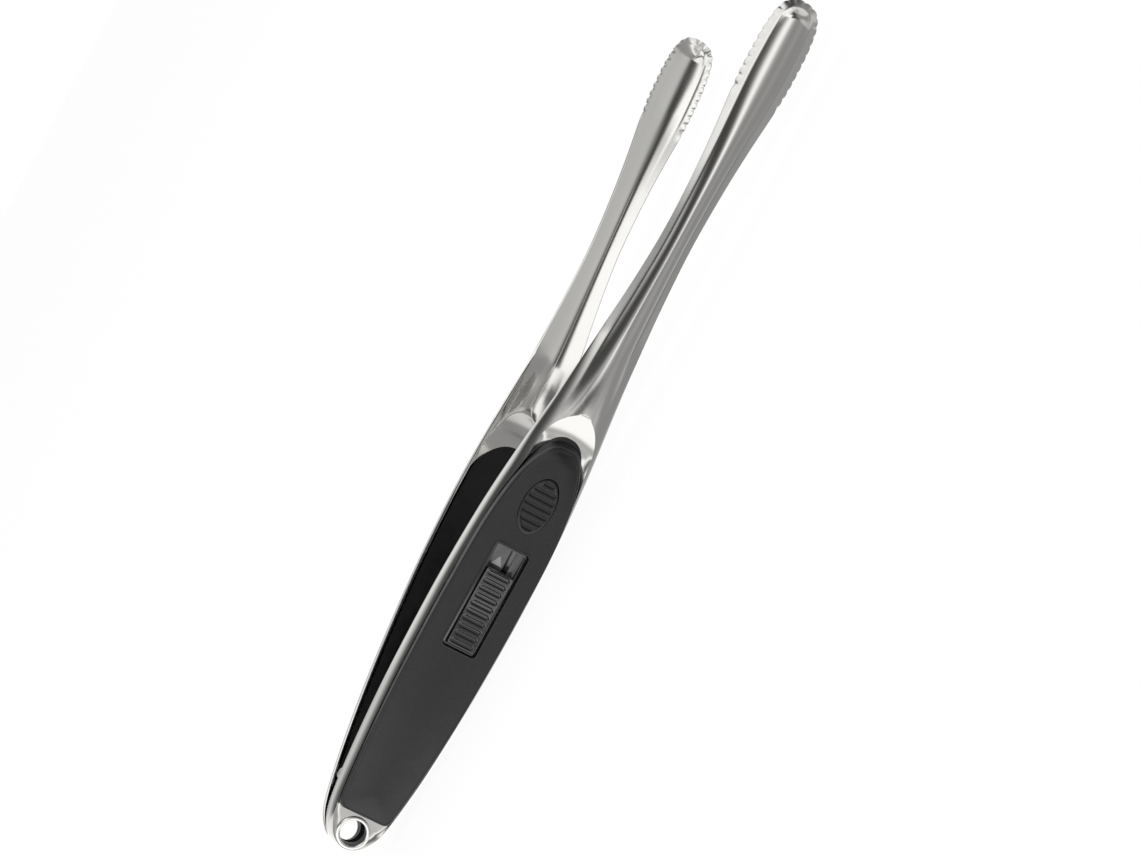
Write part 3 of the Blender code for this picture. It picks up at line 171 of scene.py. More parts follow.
# Hinge
PIN_RADIUS = 0.0020
PIN_OVERHANG = 0.0011
PIN_HEAD_RADIUS = 0.0032
PIN_HEAD_THICKNESS = 0.0008
EAR_THICKNESS = 0.0012
EAR_RADIUS = 0.0038
EAR_HALF_LENGTH = 0.0045
EAR_WALL_CLEARANCE = 0.0009
BRACKET_HALF_LENGTH = 0.0060
BRACKET_BASE = 0.0010
WASHER_THICKNESS = 0.0006
WASHER_RADIUS = 0.0034
SLEEVE_WALL = 0.0006
SPRING_WIRE = 0.0016
SPRING_PITCH = 0.0022
SPRING_LEG = 0.0220
SPRING_LEG_SHARES = (0.06, 0.15, 0.3, 0.5, 0.75, 1.0)
SPRING_STEPS = 40
PIN_EDGE_SHARE = 0.35
HEAD_EDGE_SHARE = 0.6
BRACKET_EDGE = 0.00018
WASHER_EDGE = 0.00012
NUT_EDGE = 0.00015
NUT_NOTCHES = 6
NOTCH_DEPTH = 0.00055
NOTCH_HALF_WIDTH = 0.00022

# Gap between pieces, how far a cutter runs past what it cuts, and how near points are welded
GAP = 0.0003
CUT_OVERRUN = 0.0010
MERGE = 0.000001

# Hanging hole
HOLE_U = 0.0084
HOLE_RADIUS = 0.0049
COLLAR_WALL = 0.0006
EYELET_SEAT = 0.0005
EYELET_THICKNESS = 0.0006
EYELET_WALL_SHARE = 0.25

# Liners
LINER_FACE = 0.0007
LINER_THICKNESS = 0.0013
LINER_GUTTER = 0.0010
LINER_FRONT = 0.0166
LINER_ARCH = 0.0200
LINER_EDGE = 0.0004
LINER_TAIL_STEPS = 20
LINER_SIDE_STEPS = 40
LINER_ARCH_STEPS = 28
STOP_U = 0.0161
STOP_LENGTH = 0.0023
STOP_HALF_WIDTH = 0.0040
STOP_EDGE = 0.00025

# Grips
GRIP_START = 0.0156
GRIP_CORNER = 0.0030
GRIP_FRONT = 0.0095
GRIP_COLLAR_MID = 0.0016
GRIP_COLLAR_TOP = 0.0046
GRIP_ARCH = 0.0618
GRIP_ARCH_POWER = 2.5
GRIP_SIDE_STEP = 0.0006
GRIP_MID_RISE = 0.0004
GRIP_SCOOP_MID = 0.0065
GRIP_EDGE_HEIGHT = 0.0106
GRIP_EDGE_SHARES = (
    (0.0, 0.62), (0.044, 0.64), (0.17, 0.86), (0.28, 0.89), (0.38, 0.93), (0.47, 1.0), (1.0, 1.0),
)
GRIP_CROWN = 0.0017
GRIP_RIDGE_TAIL = 0.0100
GRIP_RIDGE_FRONT = 0.0095
EDGE_BEAD_WIDTH = 0.0008
EDGE_BEAD_HEIGHT = 0.00018
GRIP_TAIL_STEPS = 5
GRIP_CORNER_STEPS = 8
GRIP_SIDE_STEPS = 34
GRIP_ARCH_STEPS = 56
BEAD_STEPS = 8
UNDERSIDE_SHARES = (0.0, 0.3, 0.6, 0.85, 1.0)
COLLAR_STEPS = 7
EDGE_BEAD_SHARES = (0.0, 0.25, 0.5, 0.75, 1.0)
PLATEAU_SHARES = (0.96, 0.9, 0.8, 0.65, 0.5, 0.35, 0.2, 0.1, 0.0)

# Window in the near grip, slide track and slider
WINDOW_LENGTH = 0.0427
WINDOW_SPACE = 0.0065
WINDOW_WIDTH = 0.0139
WINDOW_CORNER = 0.0018
WINDOW_BEAD = 0.00035
TRACK_WALL = 0.0009
TRACK_FLOOR = 0.0014
TRACK_TOP = 0.0096
TRACK_GROOVE = 0.0010
TRACK_EDGE = 0.0002
WELL_CORNER = 0.0004
ARROW_AHEAD = 0.0050
ARROW_OFFSET = 0.0020
ARROW_LENGTH = 0.0036
ARROW_HALF_WIDTH = 0.0021
ARROW_SINK = 0.0001
ARROW_PROUD = 0.00006
SLIDER_LENGTH = 0.0310
SLIDER_BASE = 0.0040
SLIDER_DISH = 0.0010
SLIDER_EDGE = 0.0005
RIB_COUNT = 10
RIB_HEIGHT = 0.0007
RIB_MARGIN = 0.0009
RIB_GROOVE_SHARE = 0.30
RIB_GROOVE_DEPTH_SHARE = 1.2
SLIDER_GRID = (190, 56)

# Cross grooves: how far from their middle they are full depth, and how they fade beyond
GROOVE_FLAT_SHARE = 0.45
GROOVE_FADE_SHARE = 0.75

# Lock hook, clip and keeper
HOOK_OFFSET = -0.0019
HOOK_THICKNESS = 0.0018
HOOK_SET_BACK = 0.0103
HOOK_STEM = 0.0050
HOOK_HEAD = 0.0030
HOOK_HEAD_THICKNESS = 0.0014
HOOK_REACH = 0.0062
HOOK_TOE = 0.0060
HOOK_TOE_THICKNESS = 0.0014
CLIP_THICKNESS = 0.0010
CLIP_MARGIN = 0.0020
DETENT_OFFSET = 0.0027
DETENT_WIDTH = 0.0026
DETENT_LENGTH = 0.0180
DETENT_SHEET = 0.0004
DETENT_RISE = 0.0011
KEEPER_BAR = 0.0014
KEEPER_WIDTH = 0.0100
KEEPER_LENGTH = 0.0024
KEEPER_CLEARANCE = 0.0006
KEEPER_FOOT = 0.0032
KEEPER_EDGE = 0.0002
KEEPER_BEND_SHARE = 0.9
KEEPER_CORNER_CUT = 0.0004
HOOK_EDGE = 0.00025
CLIP_EDGE = 0.00015
CLIP_CORNER = 0.0008
JAW_GAP_CLOSED = 0.0003

# Thumb rests
THUMB_SET_BACK = 0.0362
THUMB_LENGTH = 0.0220
THUMB_WIDTH = 0.0124
THUMB_DEPTH = 0.0014
THUMB_PROUD = 0.0002
THUMB_RIBS = 7
THUMB_GROOVE = 0.0006
THUMB_RIM = 0.0009
THUMB_CLEARANCE = 0.00012
THUMB_GROOVE_SHARE = 0.27
THUMB_RING_HEIGHT = 0.00022
THUMB_RING_SHARE = 0.90
THUMB_RING_WIDTH_SHARE = 0.055
THUMB_FALL = 0.0003
THUMB_FALL_SHARE = 0.95
THUMB_FALL_WIDTH_SHARE = 0.05
THUMB_LEAST_SPAN = 0.05
THUMB_SPAN_EXTRA = 0.4
THUMB_GRID = (120, 60)
OVAL_STEPS = 96

# Liner screws
TAIL_SCREW_U = 0.0450
SCREW_RADIUS = 0.0013
SCREW_HEAD_RADIUS = 0.0024
SCREW_HEAD_HEIGHT = 0.0011
SCREW_BITE = 0.0026
SCREW_TIP_SHARE = 0.25
SCREW_DOME_SHARE = 0.6
THREAD_PITCH = 0.0006
THREAD_ROOT_SHARE = 0.82
RECESS_REACH_SHARE = 0.58
RECESS_DEPTH_SHARE = 0.55
RECESS_HALF_WIDTH = 0.00026

# Edges sharper than this, in degrees, stay sharp when a mesh is shaded
SHARP_CREASE = 30.0
CREASE = 35.0
FORMED_CREASE = 50.0
SOFT_CREASE = 60.0

# Edges sharper than this, in degrees, are rounded where a piece gets round edges
BEVEL_ANGLE = 40.0

# Share of a full rounding, which keeps its last step just off upright
ROUNDING_SHARE = 0.999

# Steps of the round shapes
CORNER_STEPS = 8
WELL_CORNER_STEPS = 4
CLIP_CORNER_STEPS = 6
KEEPER_BEND_STEPS = 6
HANG_HOLE_SIDES = 64
SCREW_HOLE_SIDES = 24
BORE_SIDES = 40
HINGE_SIDES = 48
PIN_DOME_STEPS = 8
EAR_STEPS = 24
SPRING_SIDES = 16
EYELET_SIDES = 72
EYELET_STEPS = 12
SCREW_SIDES = 32
SCREW_DOME_STEPS = 6

THUMB_U = HANDLE_LENGTH - THUMB_SET_BACK
WINDOW_START = THUMB_U - THUMB_LENGTH / 2 - WINDOW_SPACE - WINDOW_LENGTH
SCREW_US = (TAIL_SCREW_U, WINDOW_START + WINDOW_LENGTH + WINDOW_SPACE / 2)
SLIDER_START = WINDOW_START + 2 * GAP + TRACK_WALL
SLIDER_TRAVEL = WINDOW_LENGTH - 4 * GAP - 2 * TRACK_WALL - SLIDER_LENGTH
SLIDER_LOW = FLOOR_HEIGHT + GAP + TRACK_FLOOR + GAP
HOOK_START = SLIDER_START + HOOK_SET_BACK
HOOK_END = HOOK_START + HOOK_STEM + SLIDER_TRAVEL
KEEPER_U = HOOK_END + GAP + KEEPER_LENGTH / 2
CAVITY_LOW = LINER_FACE + LINER_THICKNESS
CAVITY_HIGH = FLOOR_HEIGHT - SHEET
HINGE_SEAT = CAVITY_LOW + GAP + (CAVITY_HIGH - CAVITY_LOW - BRACKET_BASE - GAP) / 2


# Curves along the arm


def smooth(x):
    """Rise from 0 to 1 with level ends."""
    x = np.clip(x, 0.0, 1.0)
    return x * x * (3.0 - 2.0 * x)


def through(table, x):
    """Read a table with a curve that never overshoots its points."""
    if x <= table[0][0]:
        return table[0][1]
    if x >= table[-1][0]:
        return table[-1][1]
    slopes = [(b[1] - a[1]) / (b[0] - a[0]) for a, b in zip(table, table[1:])]
    i = max(k for k in range(len(slopes)) if table[k][0] <= x)

    def tangent(k):
        if k == 0:
            return slopes[0]
        if k == len(slopes):
            return slopes[-1]
        before, after = slopes[k - 1], slopes[k]
        if before * after <= 0.0:
            return 0.0
        return 2.0 * before * after / (before + after)

    span = table[i + 1][0] - table[i][0]
    t = (x - table[i][0]) / span
    start, end = table[i][1], table[i + 1][1]
    cubic = 2.0 * t**3 - 3.0 * t**2
    return (
        start * (cubic + 1.0)
        - end * cubic
        + span * tangent(i) * (t**3 - 2.0 * t**2 + t)
        + span * tangent(i + 1) * (t**3 - t**2)
    )


# Even places along the arm, how often a table is averaged there, and where its ends begin
GRID_STEPS = 1200
GRID = np.linspace(0.0, 1.0, GRID_STEPS + 1)
AVERAGINGS = 3
END_SHARE = 0.05
END_FADE_SHARE = 0.06


def faired(table, spread, end_spread):
    """Even samples of a table with its kinks averaged out, less so near the two ends."""
    plain = np.array([through(table, x) for x in GRID])
    fair = []
    for width in (spread, end_spread):
        half = max(1, round(width * GRID_STEPS))
        kernel = np.ones(2 * half + 1) / (2 * half + 1)
        values = plain
        for _ in range(AVERAGINGS):
            values = np.pad(values, half, mode="reflect", reflect_type="odd")
            values = np.convolve(values, kernel, mode="valid")
        fair.append(values)
    rise = smooth((GRID - END_SHARE) / END_FADE_SHARE)
    middle = rise * smooth((1.0 - END_SHARE - GRID) / END_FADE_SHARE)
    return fair[0] * middle + fair[1] * (1.0 - middle)


# Each table is averaged over a share of the arm's length, given for its middle and for its ends
SQUARED_WIDTH = faired(tuple((u, w * w) for u, w in HALF_WIDTH_SHARES), 0.016, 0.002)
BOW = faired(BOW_SHARES, 0.030, 0.030)
RIDGE = faired(RIDGE_SHARES, 0.020, 0.012)
GRIP_EDGE = faired(GRIP_EDGE_SHARES, 0.020, 0.006)


def along_arm(samples, u):
    """Read even samples at a place along the arm."""
    return np.interp(np.asarray(u) / ARM_LENGTH, GRID, samples)


def half_width(u):
    """Half width of the arm across its rim."""
    return HANDLE_WIDTH / 2 * np.sqrt(np.maximum(0.0, along_arm(SQUARED_WIDTH, u)))


def rim_bow(u):
    """How far the rim bows out of its plane."""
    return SHAFT_BOW * along_arm(BOW, u)


# Surface of the arm


def arch(t):
    """Quarter round from the rim, 0, to the middle, 1."""
    return np.sqrt(np.maximum(0.0, 1.0 - (1.0 - t) ** 2))


def gable(t, flange):
    """Flange, flank and rounded crest, from the rim to the middle; flange is the flange's share."""
    q = (1.0 - t) / (1.0 - flange)
    flank = 1.0 - (1.0 - FLANGE_RISE_SHARE) * q**FLANK_POWER
    level = FLANGE_RISE_SHARE * t / flange
    return (flank + level + np.hypot(flank - level, BEND_SOFT_SHARE)) / 2 - BEND_SOFT_SHARE / 2


def lip_height(u):
    """Height of the lip round the grip, low at the tail."""
    rise = smooth((u - BEAD_START) / (BEAD_END - BEAD_START))
    return FLOOR_HEIGHT + TAIL_LIP + (BEAD_HEIGHT - TAIL_LIP) * rise


def floor_height(u):
    """Floor of the handle, which dips into the scoop ahead of the grip."""
    dip_start = HANDLE_LENGTH - SCOOP_FLAT - SCOOP_RAMP
    return FLOOR_HEIGHT + (SCOOP_FLOOR - FLOOR_HEIGHT) * smooth((u - dip_start) / SCOOP_RAMP)


def spreading(u):
    """How far the lip and the foot of its wall have drawn in beside the scoop, 0 to 1."""
    return float(smooth((u - SPREAD_START) / SPREAD_LENGTH))


def lip_inset(u):
    """How far the lip's crest lies in from the rim."""
    return LIP_INSET + LIP_SPREAD * spreading(u)


def lip_foot(u):
    """How far the foot of the lip's inner wall lies from the lip."""
    tail = float(smooth((TAIL_SPREAD_END - u) / TAIL_SPREAD_FADE))
    return LIP_FOOT + TAIL_FOOT_SPREAD * tail + FOOT_SPREAD * spreading(u)


def crest_shift(u):
    """How far the crest of the shaft lies off its middle line."""
    return CREST_SHIFT * float(smooth((u - CREST_SHIFT_START) / CREST_SHIFT_LENGTH))


def body_height(u, at_u, inset, reach, flange):
    """Height of the arm before the handle is hollowed."""
    t = inset / reach
    handle_crest = lip_height(u) / arch(min(1.0, LIP_INSET / reach))
    shoulder = smooth((u - (HANDLE_LENGTH - SHOULDER_LENGTH)) / (SHOULDER_LENGTH * 3 / 4))
    round_crest = handle_crest + (SCOOP_CREST - handle_crest) * shoulder
    ridge = RIDGE_HEIGHT * along_arm(RIDGE, at_u)
    blend_start = HANDLE_LENGTH - RIDGE_BLEND_START
    blend = smooth((u - blend_start) / (RIDGE_BLEND_START + RIDGE_BLEND_END))
    return (1.0 - blend) * round_crest * arch(t) + blend * ridge * gable(t, flange / reach)


def surface_height(u, at_u, inset, reach, flange):
    """Outer height of the arm: its body, hollowed for the grip and by the scoop."""
    body = body_height(u, at_u, inset, reach, flange)
    lip_half = reach - lip_inset(u)
    foot_half = lip_half - lip_foot(u)
    ahead = max(0.0, u - SCOOP_CENTRE)
    if ahead >= SCOOP_LENGTH or lip_half <= 0.0:
        return body
    across = reach - inset
    outer = np.hypot(ahead / SCOOP_LENGTH, across / lip_half)
    lip_across = lip_half * math.sqrt(1.0 - (ahead / SCOOP_LENGTH) ** 2)
    lip = body_height(u, u, reach - lip_across, reach, flange)
    inner = np.hypot(ahead / SCOOP_FOOT, across / foot_half)
    span = np.where(inner - outer > MERGE, inner - outer, 1.0)
    down = np.where(inner <= 1.0, 1.0, np.clip((1.0 - outer) / span, 0.0, 1.0))
    low = floor_height(u)
    hollow = low + (lip - low) * (1.0 - down) ** (2.0 - (2.0 - SCOOP_SWEEP) * spreading(u))
    return np.where(outer >= 1.0, body, hollow)


def arm_top(u, w):
    """Outer height of the handle at a point on it, above its rim."""
    reach = float(half_width(u))
    inset = np.array([reach - abs(w)])
    return float(surface_height(u, u, inset, reach, FLANGE_SHARE * reach)[0])


def plain_height(u, at_u, inset, reach, flange):
    """The same surface without the bead of the lip, which the inside of the sheet follows."""
    opening = smooth((u - SCOOP_CENTRE) / (SCOOP_LENGTH + SCOOP_RUN_OUT))
    cap = floor_height(u) + (SCOOP_CREST - SCOOP_FLOOR) * opening
    return np.minimum(surface_height(u, at_u, inset, reach, flange), cap)


# Shares at which the mesh rings lie between the marks that ring_insets sets
RING_STEPS = (
    (0.04, 0.16, 0.36, 0.64, 1.0),
    (0.25, 0.5, 0.75, 1.0),
    (0.15, 0.35, 0.55, 0.72, 0.86, 0.95, 1.0),
    (0.06, 0.15, 0.3, 0.5, 0.75, 1.0),
    (0.25, 0.5, 0.75, 1.0),
    (0.2, 0.4, 0.6, 0.8, 1.0),
)


def ring_insets(u, reach, flange):
    """Insets of the mesh rings: wall, lip, foot and floor, or flange, flank and crest."""
    wall = smooth((u - SCOOP_CENTRE) / (2 * SCOOP_LENGTH))
    first = (1.0 - wall) * LIP_INSET / 5 + wall * flange / 2
    second = (1.0 - wall) * LIP_INSET * 3 / 5 + wall * flange
    ahead = max(0.0, u - SCOOP_CENTRE)
    lip_half = reach - lip_inset(u)
    foot_half = lip_half - lip_foot(u)
    lip_share = math.sqrt(max(0.0, 1.0 - (ahead / SCOOP_LENGTH) ** 2))
    foot_share = math.sqrt(max(0.0, 1.0 - (ahead / SCOOP_FOOT) ** 2))
    mid_flank = (reach - flange + 2 * CREST_RING) / 2
    past = smooth((u - HANDLE_LENGTH) / SCOOP_LENGTH)
    lip_ring = max(lip_half * lip_share, 3 * CREST_RING)
    lip_ring += (mid_flank - lip_ring) * past
    foot_ring = max(foot_half * foot_share, 2 * CREST_RING)
    middle_ring = max(foot_half * foot_share / 2, CREST_RING)
    marks = [0.0, first, second, reach - lip_ring, reach - foot_ring, reach - middle_ring, reach]
    insets = [0.0]
    for start, end, steps in zip(marks, marks[1:], RING_STEPS):
        insets += [start + (end - start) * step for step in steps]
    return np.array(insets)


def outline_samples():
    """Points (u, w, tooth) along one side of the rim, from the tail's end to the jaw's tip."""
    turn = np.linspace(0.0, math.pi, RIM_STEPS + 1)
    us = ARM_LENGTH * (1.0 - np.cos(turn)) / 2
    ws = half_width(us)
    run = np.concatenate(([0.0], np.cumsum(np.hypot(np.diff(us), np.diff(ws)))))

    def distance_of(u):
        return float(np.interp(u, us, run))

    marks = [
        (0.0, TAIL_STEP),
        (distance_of(2 * TAIL_RIDGE), HANDLE_STEP),
        (distance_of(SCOOP_CENTRE - SCOOP_LENGTH), SCOOP_STEP),
        (distance_of(HANDLE_LENGTH + SCOOP_STEP_RUN), SHAFT_STEP),
    ]
    teeth_start = distance_of(ARM_LENGTH - TEETH_LENGTH)
    samples = []
    for (start, step), (end, _) in zip(marks, marks[1:] + [(teeth_start, 0.0)]):
        count = max(1, round((end - start) / step))
        for i in range(count):
            samples.append((start + (end - start) * i / count, 0.0))
    jaw = run[-1] - teeth_start
    teeth = round(jaw / TOOTH_PITCH)
    count = TOOTH_STEPS * teeth
    for i in range(count + 1):
        scallop = 1.0 - abs(math.sin(math.pi * teeth * i / count))
        samples.append((teeth_start + jaw * i / count, TOOTH_DEPTH * scallop**TOOTH_POWER))
    rim = []
    for distance, tooth in samples:
        rim.append((float(np.interp(distance, run, us)), float(np.interp(distance, run, ws)), tooth))
    rim[0] = (0.0, 0.0, 0.0)
    rim[-1] = (ARM_LENGTH, 0.0, rim[-1][2])
    return rim


def inner_line(u, ridge, reach, flange):
    """Insets and heights of the inside of the sheet.

    In the handle a ball of the sheet's thickness is rolled under the outside; past it the inside turns
    into a rounded V.
    """
    dense = reach * np.linspace(0.0, 1.0, OUTER_STEPS) ** OUTER_POWER
    outer = plain_height(u, u + (ridge - u) * dense / reach, dense, reach, flange)
    slope = float(np.interp(RIM_SLOPE_INSET, dense, outer)) / RIM_SLOPE_INSET
    before = -SHEET * np.linspace(1.0, RUN_IN_LAST_SHARE, RUN_IN_STEPS)
    beyond = dense[-2:-RUN_OUT_STEPS:-1]
    line_q = np.concatenate((before, dense, 2 * reach - beyond))
    line_h = np.concatenate((slope * before, outer, outer[-2:-RUN_OUT_STEPS:-1]))
    start = SHEET * math.sin(math.atan(slope))
    inner_q = start + (reach - start) * np.linspace(0.0, 1.0, INNER_STEPS) ** INNER_POWER
    apart = np.abs(inner_q[:, None] - line_q[None, :])
    ball = np.sqrt(np.maximum(0.0, SHEET**2 - apart**2))
    rolled = np.where(apart <= SHEET, line_h[None, :] - ball, np.inf).min(axis=1)
    across = (reach - inner_q) / (reach - start)
    full = math.hypot(1.0, VALLEY_SOFT_SHARE) - VALLEY_SOFT_SHARE
    fall = (np.hypot(across, VALLEY_SOFT_SHARE) - VALLEY_SOFT_SHARE) / full
    crest = RIDGE_HEIGHT * float(along_arm(RIDGE, ridge)) - SHEET - VALLEY_CREST_SHEET
    top = min(VALLEY_DEPTH_SHARE * float(half_width(ridge)) - SHEET, crest)
    valley = top + (rolled[0] - top) * fall
    ceiling = np.interp(inner_q, dense, outer) - VALLEY_SHEET_SHARE * SHEET
    valley = (valley + ceiling - np.hypot(valley - ceiling, VALLEY_SOFT)) / 2 + VALLEY_SOFT / 2 * across
    past = smooth((u - VALLEY_START) / VALLEY_FADE) * np.ones_like(rolled)
    past[0] = 0.0
    return inner_q, (1.0 - past) * rolled + past * valley


def arm_section(u, w, tooth):
    """One section (u, h, w), from the inner middle round the rim at (u, w) to the outer middle."""
    ridge = min(max(u, TAIL_RIDGE), ARM_LENGTH - TIP_RIDGE)
    middle_w = crest_shift(ridge)
    reach = math.hypot(u - ridge, w - middle_w)
    flange = FLANGE_SHARE * math.hypot(u - ridge, w)
    outer_q = ring_insets(u, reach, flange)
    outer_h = surface_height(u, u + (ridge - u) * outer_q / reach, outer_q, reach, flange)
    inner_q, inner_h = inner_line(u, ridge, reach, flange)
    step_q, step_h = inner_q[0], inner_h[0]
    width = math.hypot(step_q, step_h)
    edge = []
    for share in EDGE_SHARES:
        bulge = RIM_ROUND * math.sqrt(1.0 - (2.0 * share - 1.0) ** 2) / width
        edge.append((step_q * share + step_h * bulge, step_h * share - step_q * bulge))
    line = list(zip(inner_q[::-1], inner_h[::-1])) + edge + list(zip(outer_q, outer_h))
    section = []
    for inset, height in line:
        notch = inset + tooth * max(0.0, 1.0 - max(0.0, inset) / TOOTH_FADE)
        share = notch / reach
        at_u = u + (ridge - u) * share
        section.append((at_u, float(rim_bow(at_u)) + height, w + (middle_w - w) * share))
    return section


def arm_sections():
    """Closed loop of sections round the whole rim."""
    rim = outline_samples()
    half = [arm_section(u, w, tooth) for u, w, tooth in rim]
    other = [arm_section(u, -w, tooth) for u, w, tooth in reversed(rim[1:-1])]
    return half + other


# Mesh tools


def arm_place(side, u, h, w):
    """World place of a point given along, out from and across one arm."""
    turn = side * OPEN_HALF_ANGLE
    x = u - PIVOT_U
    y = side * (PIVOT_DROP + h)
    return Vector((
        HINGE.x + x * math.cos(turn) - y * math.sin(turn),
        HINGE.y + x * math.sin(turn) + y * math.cos(turn),
        HINGE.z + w,
    ))


def hinge_place(x, y, z):
    """World place of a point given from the middle of the hinge pin."""
    return HINGE + Vector((x, y, z))


def clean_mesh(bm, name, crease=CREASE):
    """Weld a mesh, turn its faces outward and shade it smooth but for its sharp edges."""
    bmesh.ops.remove_doubles(bm, verts=bm.verts, dist=MERGE)
    bmesh.ops.dissolve_degenerate(bm, edges=bm.edges, dist=MERGE)
    bmesh.ops.recalc_face_normals(bm, faces=bm.faces)
    mesh = bpy.data.meshes.new(name)
    bm.to_mesh(mesh)
    bm.free()
    mesh.shade_smooth()
    mesh.set_sharp_from_angle(angle=math.radians(crease))
    return mesh


def new_object(name, data):
    """An object for this mesh, curve, lamp or camera, linked to the scene."""
    obj = bpy.data.objects.new(name, data)
    bpy.context.scene.collection.objects.link(obj)
    return obj


def skin(name, rows, crease=CREASE, ends=False):
    """A closed body over a loop of equal rows; with ends, the rows are an open run with caps."""
    bm = bmesh.new()
    grid = [[bm.verts.new(point) for point in row] for row in rows]
    following = grid[1:] if ends else grid[1:] + grid[:1]
    for a, b in zip(grid, following):
        count = len(a) if ends else len(a) - 1
        for j in range(count):
            k = (j + 1) % len(a)
            bm.faces.new((a[j], b[j], b[k], a[k]))
    if ends:
        bm.faces.new(grid[0])
        bm.faces.new(grid[-1])
    return new_object(name, clean_mesh(bm, name, crease))


def lathe(name, profile, place, steps, crease=CREASE):
    """Turn a profile of (radius, height) about an axis and put each point with a place function."""
    rows = []
    for i in range(steps):
        angle = 2 * math.pi * i / steps
        rows.append([place(r * math.cos(angle), r * math.sin(angle), z) for r, z in profile])
    return skin(name, rows, crease)


def arm_lathe(name, side, u, profile, steps, crease=CREASE):
    """Turn a profile about an axis that stands on the middle line of one arm."""
    return lathe(name, profile, lambda x, y, z: arm_place(side, u + x, z, y), steps, crease)


def hinge_lathe(name, profile):
    """Turn a round piece of the hinge about the pin's axis."""
    return lathe(name, profile, hinge_place, HINGE_SIDES, SHARP_CREASE)


def cylinder_profile(radius, low, high):
    """Profile that a lathe turns into a plain cylinder."""
    return [(0.0, low), (radius, low), (radius, high), (0.0, high)]


def arm_cylinder(name, side, u, radius, low, high, steps):
    """A cylinder that stands on the middle line of one arm."""
    return arm_lathe(name, side, u, cylinder_profile(radius, low, high), steps)


def closed_pad(name, side, spots, low, crease):
    """A pad under a grid of (u, h, w) spots, closed by walls straight down to a flat foot."""
    bm = bmesh.new()
    grid = [[bm.verts.new(arm_place(side, *spot)) for spot in line] for line in spots]
    columns, lines = len(grid) - 1, len(grid[0]) - 1
    for i in range(columns):
        for j in range(lines):
            bm.faces.new((grid[i][j], grid[i + 1][j], grid[i + 1][j + 1], grid[i][j + 1]))
    border = [grid[i][0] for i in range(columns)] + [grid[columns][j] for j in range(lines)]
    border += [grid[columns - i][lines] for i in range(columns)]
    border += [grid[0][lines - j] for j in range(lines)]
    foot = []
    for vert in border:
        u, _, w = arm_coordinates(side, vert.co)
        foot.append(bm.verts.new(arm_place(side, u, low, w)))
    for i in range(len(border)):
        j = (i + 1) % len(border)
        bm.faces.new((border[i], border[j], foot[j], foot[i]))
    bm.faces.new(foot)
    return new_object(name, clean_mesh(bm, name, crease))


def tube(name, points, radius, sides):
    """A round wire through points, with flat ends."""
    curve = bpy.data.curves.new(name, "CURVE")
    curve.dimensions = "3D"
    curve.bevel_depth = radius
    curve.bevel_resolution = sides // 4
    curve.use_fill_caps = True
    spline = curve.splines.new("POLY")
    spline.points.add(len(points) - 1)
    for point, place in zip(spline.points, points):
        point.co = (*place, 1.0)
    return new_object(name, curve_mesh(curve, name, SOFT_CREASE))


def solid_mesh(obj, name, crease=CREASE):
    """The cleaned mesh of an object as its modifiers, or its curve's settings, make it."""
    graph = bpy.context.evaluated_depsgraph_get()
    bm = bmesh.new()
    bm.from_mesh(bpy.data.meshes.new_from_object(obj.evaluated_get(graph)))
    return clean_mesh(bm, name, crease)


def curve_mesh(curve, name, crease=CREASE):
    """The cleaned mesh of a curve, as its bevel and extrusion make it."""
    holder = new_object(name + "_curve", curve)
    mesh = solid_mesh(holder, name, crease)
    bpy.data.objects.remove(holder)
    return mesh


def plate(name, side, across, loops, low, high):
    """A plate cut to loops and extruded along one arm's h, w or u, from low to high."""
    curve = bpy.data.curves.new(name, "CURVE")
    curve.dimensions = "2D"
    curve.fill_mode = "BOTH"
    curve.extrude = (high - low) / 2
    for loop in loops:
        spline = curve.splines.new("POLY")
        spline.points.add(len(loop) - 1)
        for point, (x, y) in zip(spline.points, loop):
            point.co = (x, y, 0.0, 1.0)
        spline.use_cyclic_u = True
    mesh = curve_mesh(curve, name)
    middle = (low + high) / 2
    for vert in mesh.vertices:
        x, y, z = vert.co
        spots = {"h": (x, middle + z, y), "w": (x, y, middle + z), "u": (middle + z, y, x)}
        vert.co = arm_place(side, *spots[across])
    bm = bmesh.new()
    bm.from_mesh(mesh)
    return new_object(name, clean_mesh(bm, name))


def rectangle(low, high):
    """The corners of a rectangle from its lowest to its highest, in turn."""
    return [(low[0], low[1]), (high[0], low[1]), (high[0], high[1]), (low[0], high[1])]


def rounded_rectangle(low, high, radius, steps=CORNER_STEPS):
    """A rectangle whose corners are arcs."""
    corners = (
        (high[0] - radius, high[1] - radius, 0),
        (low[0] + radius, high[1] - radius, 1),
        (low[0] + radius, low[1] + radius, 2),
        (high[0] - radius, low[1] + radius, 3),
    )
    loop = []
    for x, y, quarter in corners:
        for i in range(steps + 1):
            angle = math.pi / 2 * (quarter + i / steps)
            loop.append((x + radius * math.cos(angle), y + radius * math.sin(angle)))
    return loop


def shape_with(obj, tool, operation):
    """Cut, or join, one object with another, which is used up."""
    modifier = obj.modifiers.new(tool.name, "BOOLEAN")
    modifier.operation = operation
    modifier.solver = "EXACT"
    modifier.object = tool
    settle(obj)
    bpy.data.objects.remove(tool)


def round_edges(obj, width, segments):
    """Round the sharp edges of an object."""
    bevel = obj.modifiers.new("rounded_edges", "BEVEL")
    bevel.width = width
    bevel.segments = segments
    bevel.limit_method = "ANGLE"
    bevel.angle_limit = math.radians(BEVEL_ANGLE)
    bevel.use_clamp_overlap = True
    settle(obj)


def settle(obj):
    """Apply an object's modifiers to its mesh."""
    mesh = solid_mesh(obj, obj.name)
    obj.modifiers.clear()
    obj.data = mesh
    bpy.context.view_layer.update()


# Materials


